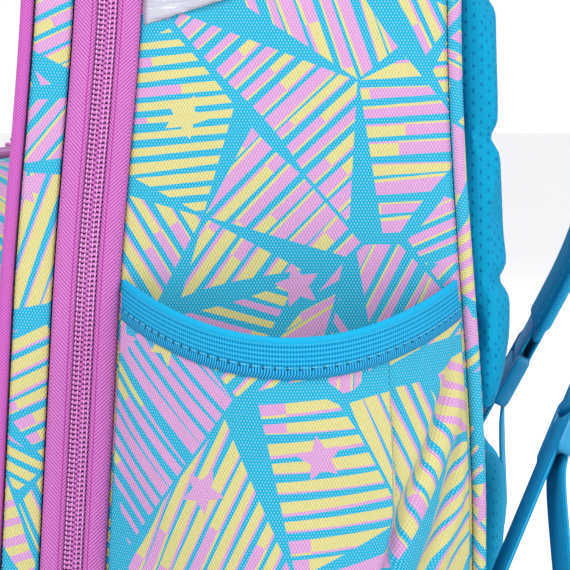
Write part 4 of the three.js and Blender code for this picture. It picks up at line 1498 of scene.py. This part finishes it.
def slider(name, way, x, top, middle, scale, pin):
    """A zip slider and its pull tab. Their bodies and CAD nodes are called after the zip."""
    spot = SliderPlace(way, x, middle, top)
    place(spot.body(name + "_slider_body", scale), name + "_slider", name + "_slider")
    place(spot.pull(name + "_pull", scale, pin), name + "_pull", name + "_pull_tab")


# ---- the front cover and the front pocket ----


def cover():
    y0, y1 = COVER_FRONT + 0.3 * MM, COVER_REAR - 0.1 * MM
    band = arch_cloth("cover_side_band_cloth", BODY, FOOT, y0, y1, "cover")
    place(band, "cover", "cover_side_band")
    foot, face = FOOT + 0.5 * MM, COVER_FACE - 2.2 * MM
    panel = domed_arch("cover_panel_cloth", BODY, foot, face, 6 * MM, PANEL_INSET, "cover")
    place(panel, "cover", "cover_front_panel")
    y = COVER_FACE - 2.6 * MM
    cord = piping("cover_piping_cord", BODY, FOOT, 2.8 * MM, y, 2.5 * MM, "pink_web")
    place(cord, "cover", "cover_piping")


def front_strip():
    """The reflective strip across the cover, above the pocket, nearer the cover at both its ends."""
    half, proud, drawn_in = 104 * MM, 9.0 * MM, 3 * MM
    low, high = 262, 280  # millimetres
    u = np.linspace(-1, 1, 70)
    x = half * u
    y = COVER_FACE - proud + drawn_in * np.abs(u) ** 6
    z = np.linspace(low, high, 8)[:, None] * MM
    strip = sheet("front_reflective_band", lean(spread(x, y, z)), "silver", 0.8 * MM, uv=(x, z))
    place(strip, "cover", "front_reflective_strip")


def pocket_walls():
    """The pocket's side walls below its zip."""
    z = np.linspace(POCKET_FOOT, POCKET_SPLIT - 0.5 * MM, 24)[:, None]
    t = np.linspace(0, 1, 24)
    y = LID_FACE + 0.5 * MM + t * (POCKET_BACK + 2 * MM - LID_FACE)
    x = POCKET[0] - 1.2 * MM + 1.2 * MM * puff(t, 4)
    for way in (-1, 1):
        name = "pocket_wall_" + side_name(way)
        points = lean(spread(way * x, y, z))
        wall = sheet(name, points, "front_pocket", BAND_CLOTH, lined=True, uv=(y, z), flip=way < 0)
        place(wall, "cover")


def pocket_lower():
    """The pocket's lower panel and its floor."""
    half, _, _ = POCKET
    x = np.linspace(-half + 2 * MM, half - 2 * MM, 60)
    up = np.linspace(0, 1, 30)[:, None]
    z = POCKET_FOOT + 1 * MM + up * (POCKET_SPLIT - POCKET_FOOT - 2 * MM)
    swell = puff((x + half) / (2 * half), 6) * puff(up / 2, 3)
    points = lean(spread(x, LID_FACE - 0.6 * MM - 3.2 * MM * swell, z))
    panel = sheet("pocket_lower_cloth", points, "front_pocket", POCKET_CLOTH, lined=True, uv=(x, z))
    place(panel, "cover", "front_pocket_lower_panel")
    share = np.linspace(0, 1, 12)[:, None]
    y = LID_FACE + 1 * MM + share * (POCKET_BACK - LID_FACE + 1 * MM)
    points = lean(spread(x, y, POCKET_FOOT + 0.4 * MM - 0.8 * MM * puff(share, 2)))
    floor = sheet("pocket_floor_cloth", points, "front_pocket", POCKET_CLOTH, lined=True)
    place(floor, "cover", "front_pocket_floor")


def pocket_lid():
    look = "front_pocket"
    y0, y1 = LID_FRONT + 0.2 * MM, LID_BACK
    band = arch_cloth("pocket_lid_band_cloth", POCKET, POCKET_SPLIT, y0, y1, look)
    place(band, "pocket_lid", "pocket_lid_band")
    foot, face = POCKET_SPLIT + 0.5 * MM, LID_FACE - 1.2 * MM
    panel = domed_arch("pocket_lid_cloth", POCKET, foot, face, 3 * MM, 4.2 * MM, look, 50, 80)
    place(panel, "pocket_lid", "pocket_lid_panel")
    y = LID_FACE - 2.1 * MM
    cord = piping("pocket_lid_cord", POCKET, POCKET_SPLIT, 2.2 * MM, y, 2.0 * MM, "edge")
    place(cord, "pocket_lid", "pocket_lid_piping")


def front_pocket():
    foot, y1 = POCKET_SPLIT - 4 * MM, POCKET_BACK + 2 * MM
    frame_cloth = arch_cloth("pocket_frame_cloth", POCKET, foot, POCKET_RIM, y1, "front_pocket")
    place(frame_cloth, "cover", "front_pocket_frame")
    pocket_walls()
    pocket_lower()
    middle = POCKET_RIM - POCKET_ZIP_HALF
    sizes = (middle, POCKET_ZIP_HALF, 2.6 * MM, 1.5 * MM)
    zip_pair("pocket_zip", POCKET, POCKET_SPLIT, *sizes, "pocket_tape", ("cover", "pocket_lid"))
    slider("pocket", -1, -56 * MM, POCKET[1], middle, 0.85, 5.0)
    pocket_lid()


def fold_cloth(name, half, y, z, reach, look):
    """Cloth across the fold between two bodies, left where it is on neither of them."""
    x = np.linspace(-half, half, 60)
    height = z + np.linspace(-reach, reach, 14)[:, None]
    obj = sheet(name, lean(spread(x, y, height)), look, 1.0 * MM, uv=(x, height))
    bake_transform(obj)


def folds():
    """The cloth that joins the cover to the bag's foot and the pocket's lid to its front."""
    y = LID_FACE + 1.9 * MM
    half, bodies = POCKET[0] - 4 * MM, ("cover", "pocket_lid")
    fold_cloth("pocket_lid_fold", half, y, POCKET_SPLIT, 6 * MM, "front_pocket")
    y = COVER_FRONT + 0.9 * MM
    fold_cloth("cover_fold", HALF - 8 * MM, y, FOOT + 2 * MM, 9 * MM, "lining")


def main_zip():
    sizes = (-ZIP_HALF, ZIP_HALF, 3.6 * MM, 1.8 * MM)
    zip_pair("main_zip", BODY, FOOT, *sizes, "tape", ("pack", "cover"))
    for way in (-1, 1):
        slider("main_" + side_name(way), way, way * 11 * MM, TOP, -ZIP_HALF, 1, 5.1)


def build_bag():
    side_panel(1, "side")
    side_panel(-1, "side_left")
    top_panel()
    both_sides(side_pocket())
    both_sides(pocket_binding())
    reflective_strip(1)
    reflective_strip(-1)
    cord = piping("back_piping_cord", BODY, FOOT, 2.8 * MM, 2.9 * MM, 2.6 * MM, "bias", on_back=True)
    place(cord, "pack", "back_piping")
    for build in (main_zip, cover, front_strip, front_pocket, folds):
        build()
    for build in (back_panel, back_pads, yoke, straps, grab_handle, base, divider, back_board):
        build()


# ---- floor and light ----


def build_floor():
    size = 25.0
    corners = [(-size, -size, 0), (size, -size, 0), (size, size, 0), (-size, size, 0)]
    raw("studio_floor", corners, [(0, 1, 2, 3)], "floor")


def softbox(name, where, wide, power):
    """A square lamp that faces the bag."""
    light = bpy.data.lights.new(name, "AREA")
    light.size = wide
    light.energy = power
    obj = bpy.data.objects.new(name, light)
    bpy.context.scene.collection.objects.link(obj)
    obj.location = where
    obj.rotation_euler = (Vector(where) - Vector((0, 0, 0.18))).to_track_quat("Z", "Y").to_euler()


def build_stage():
    build_floor()
    world = bpy.data.worlds.new("studio")
    bpy.context.scene.world = world
    world.use_nodes = True
    background = world.node_tree.nodes["Background"]
    background.inputs["Color"].default_value = (0.98, 0.99, 1.0, 1)
    background.inputs["Strength"].default_value = 1.03
    softbox("softbox_0", (0.95, -0.4, 1.25), 0.6, 14)
    softbox("softbox_1", (0.9, 1.1, 0.8), 0.8, 9)
    softbox("softbox_2", (-1.2, 0.6, 1.4), 1.0, 12)
    bpy.context.scene.view_settings.view_transform = "Standard"


build_camera()
build_bag()
build_stage()
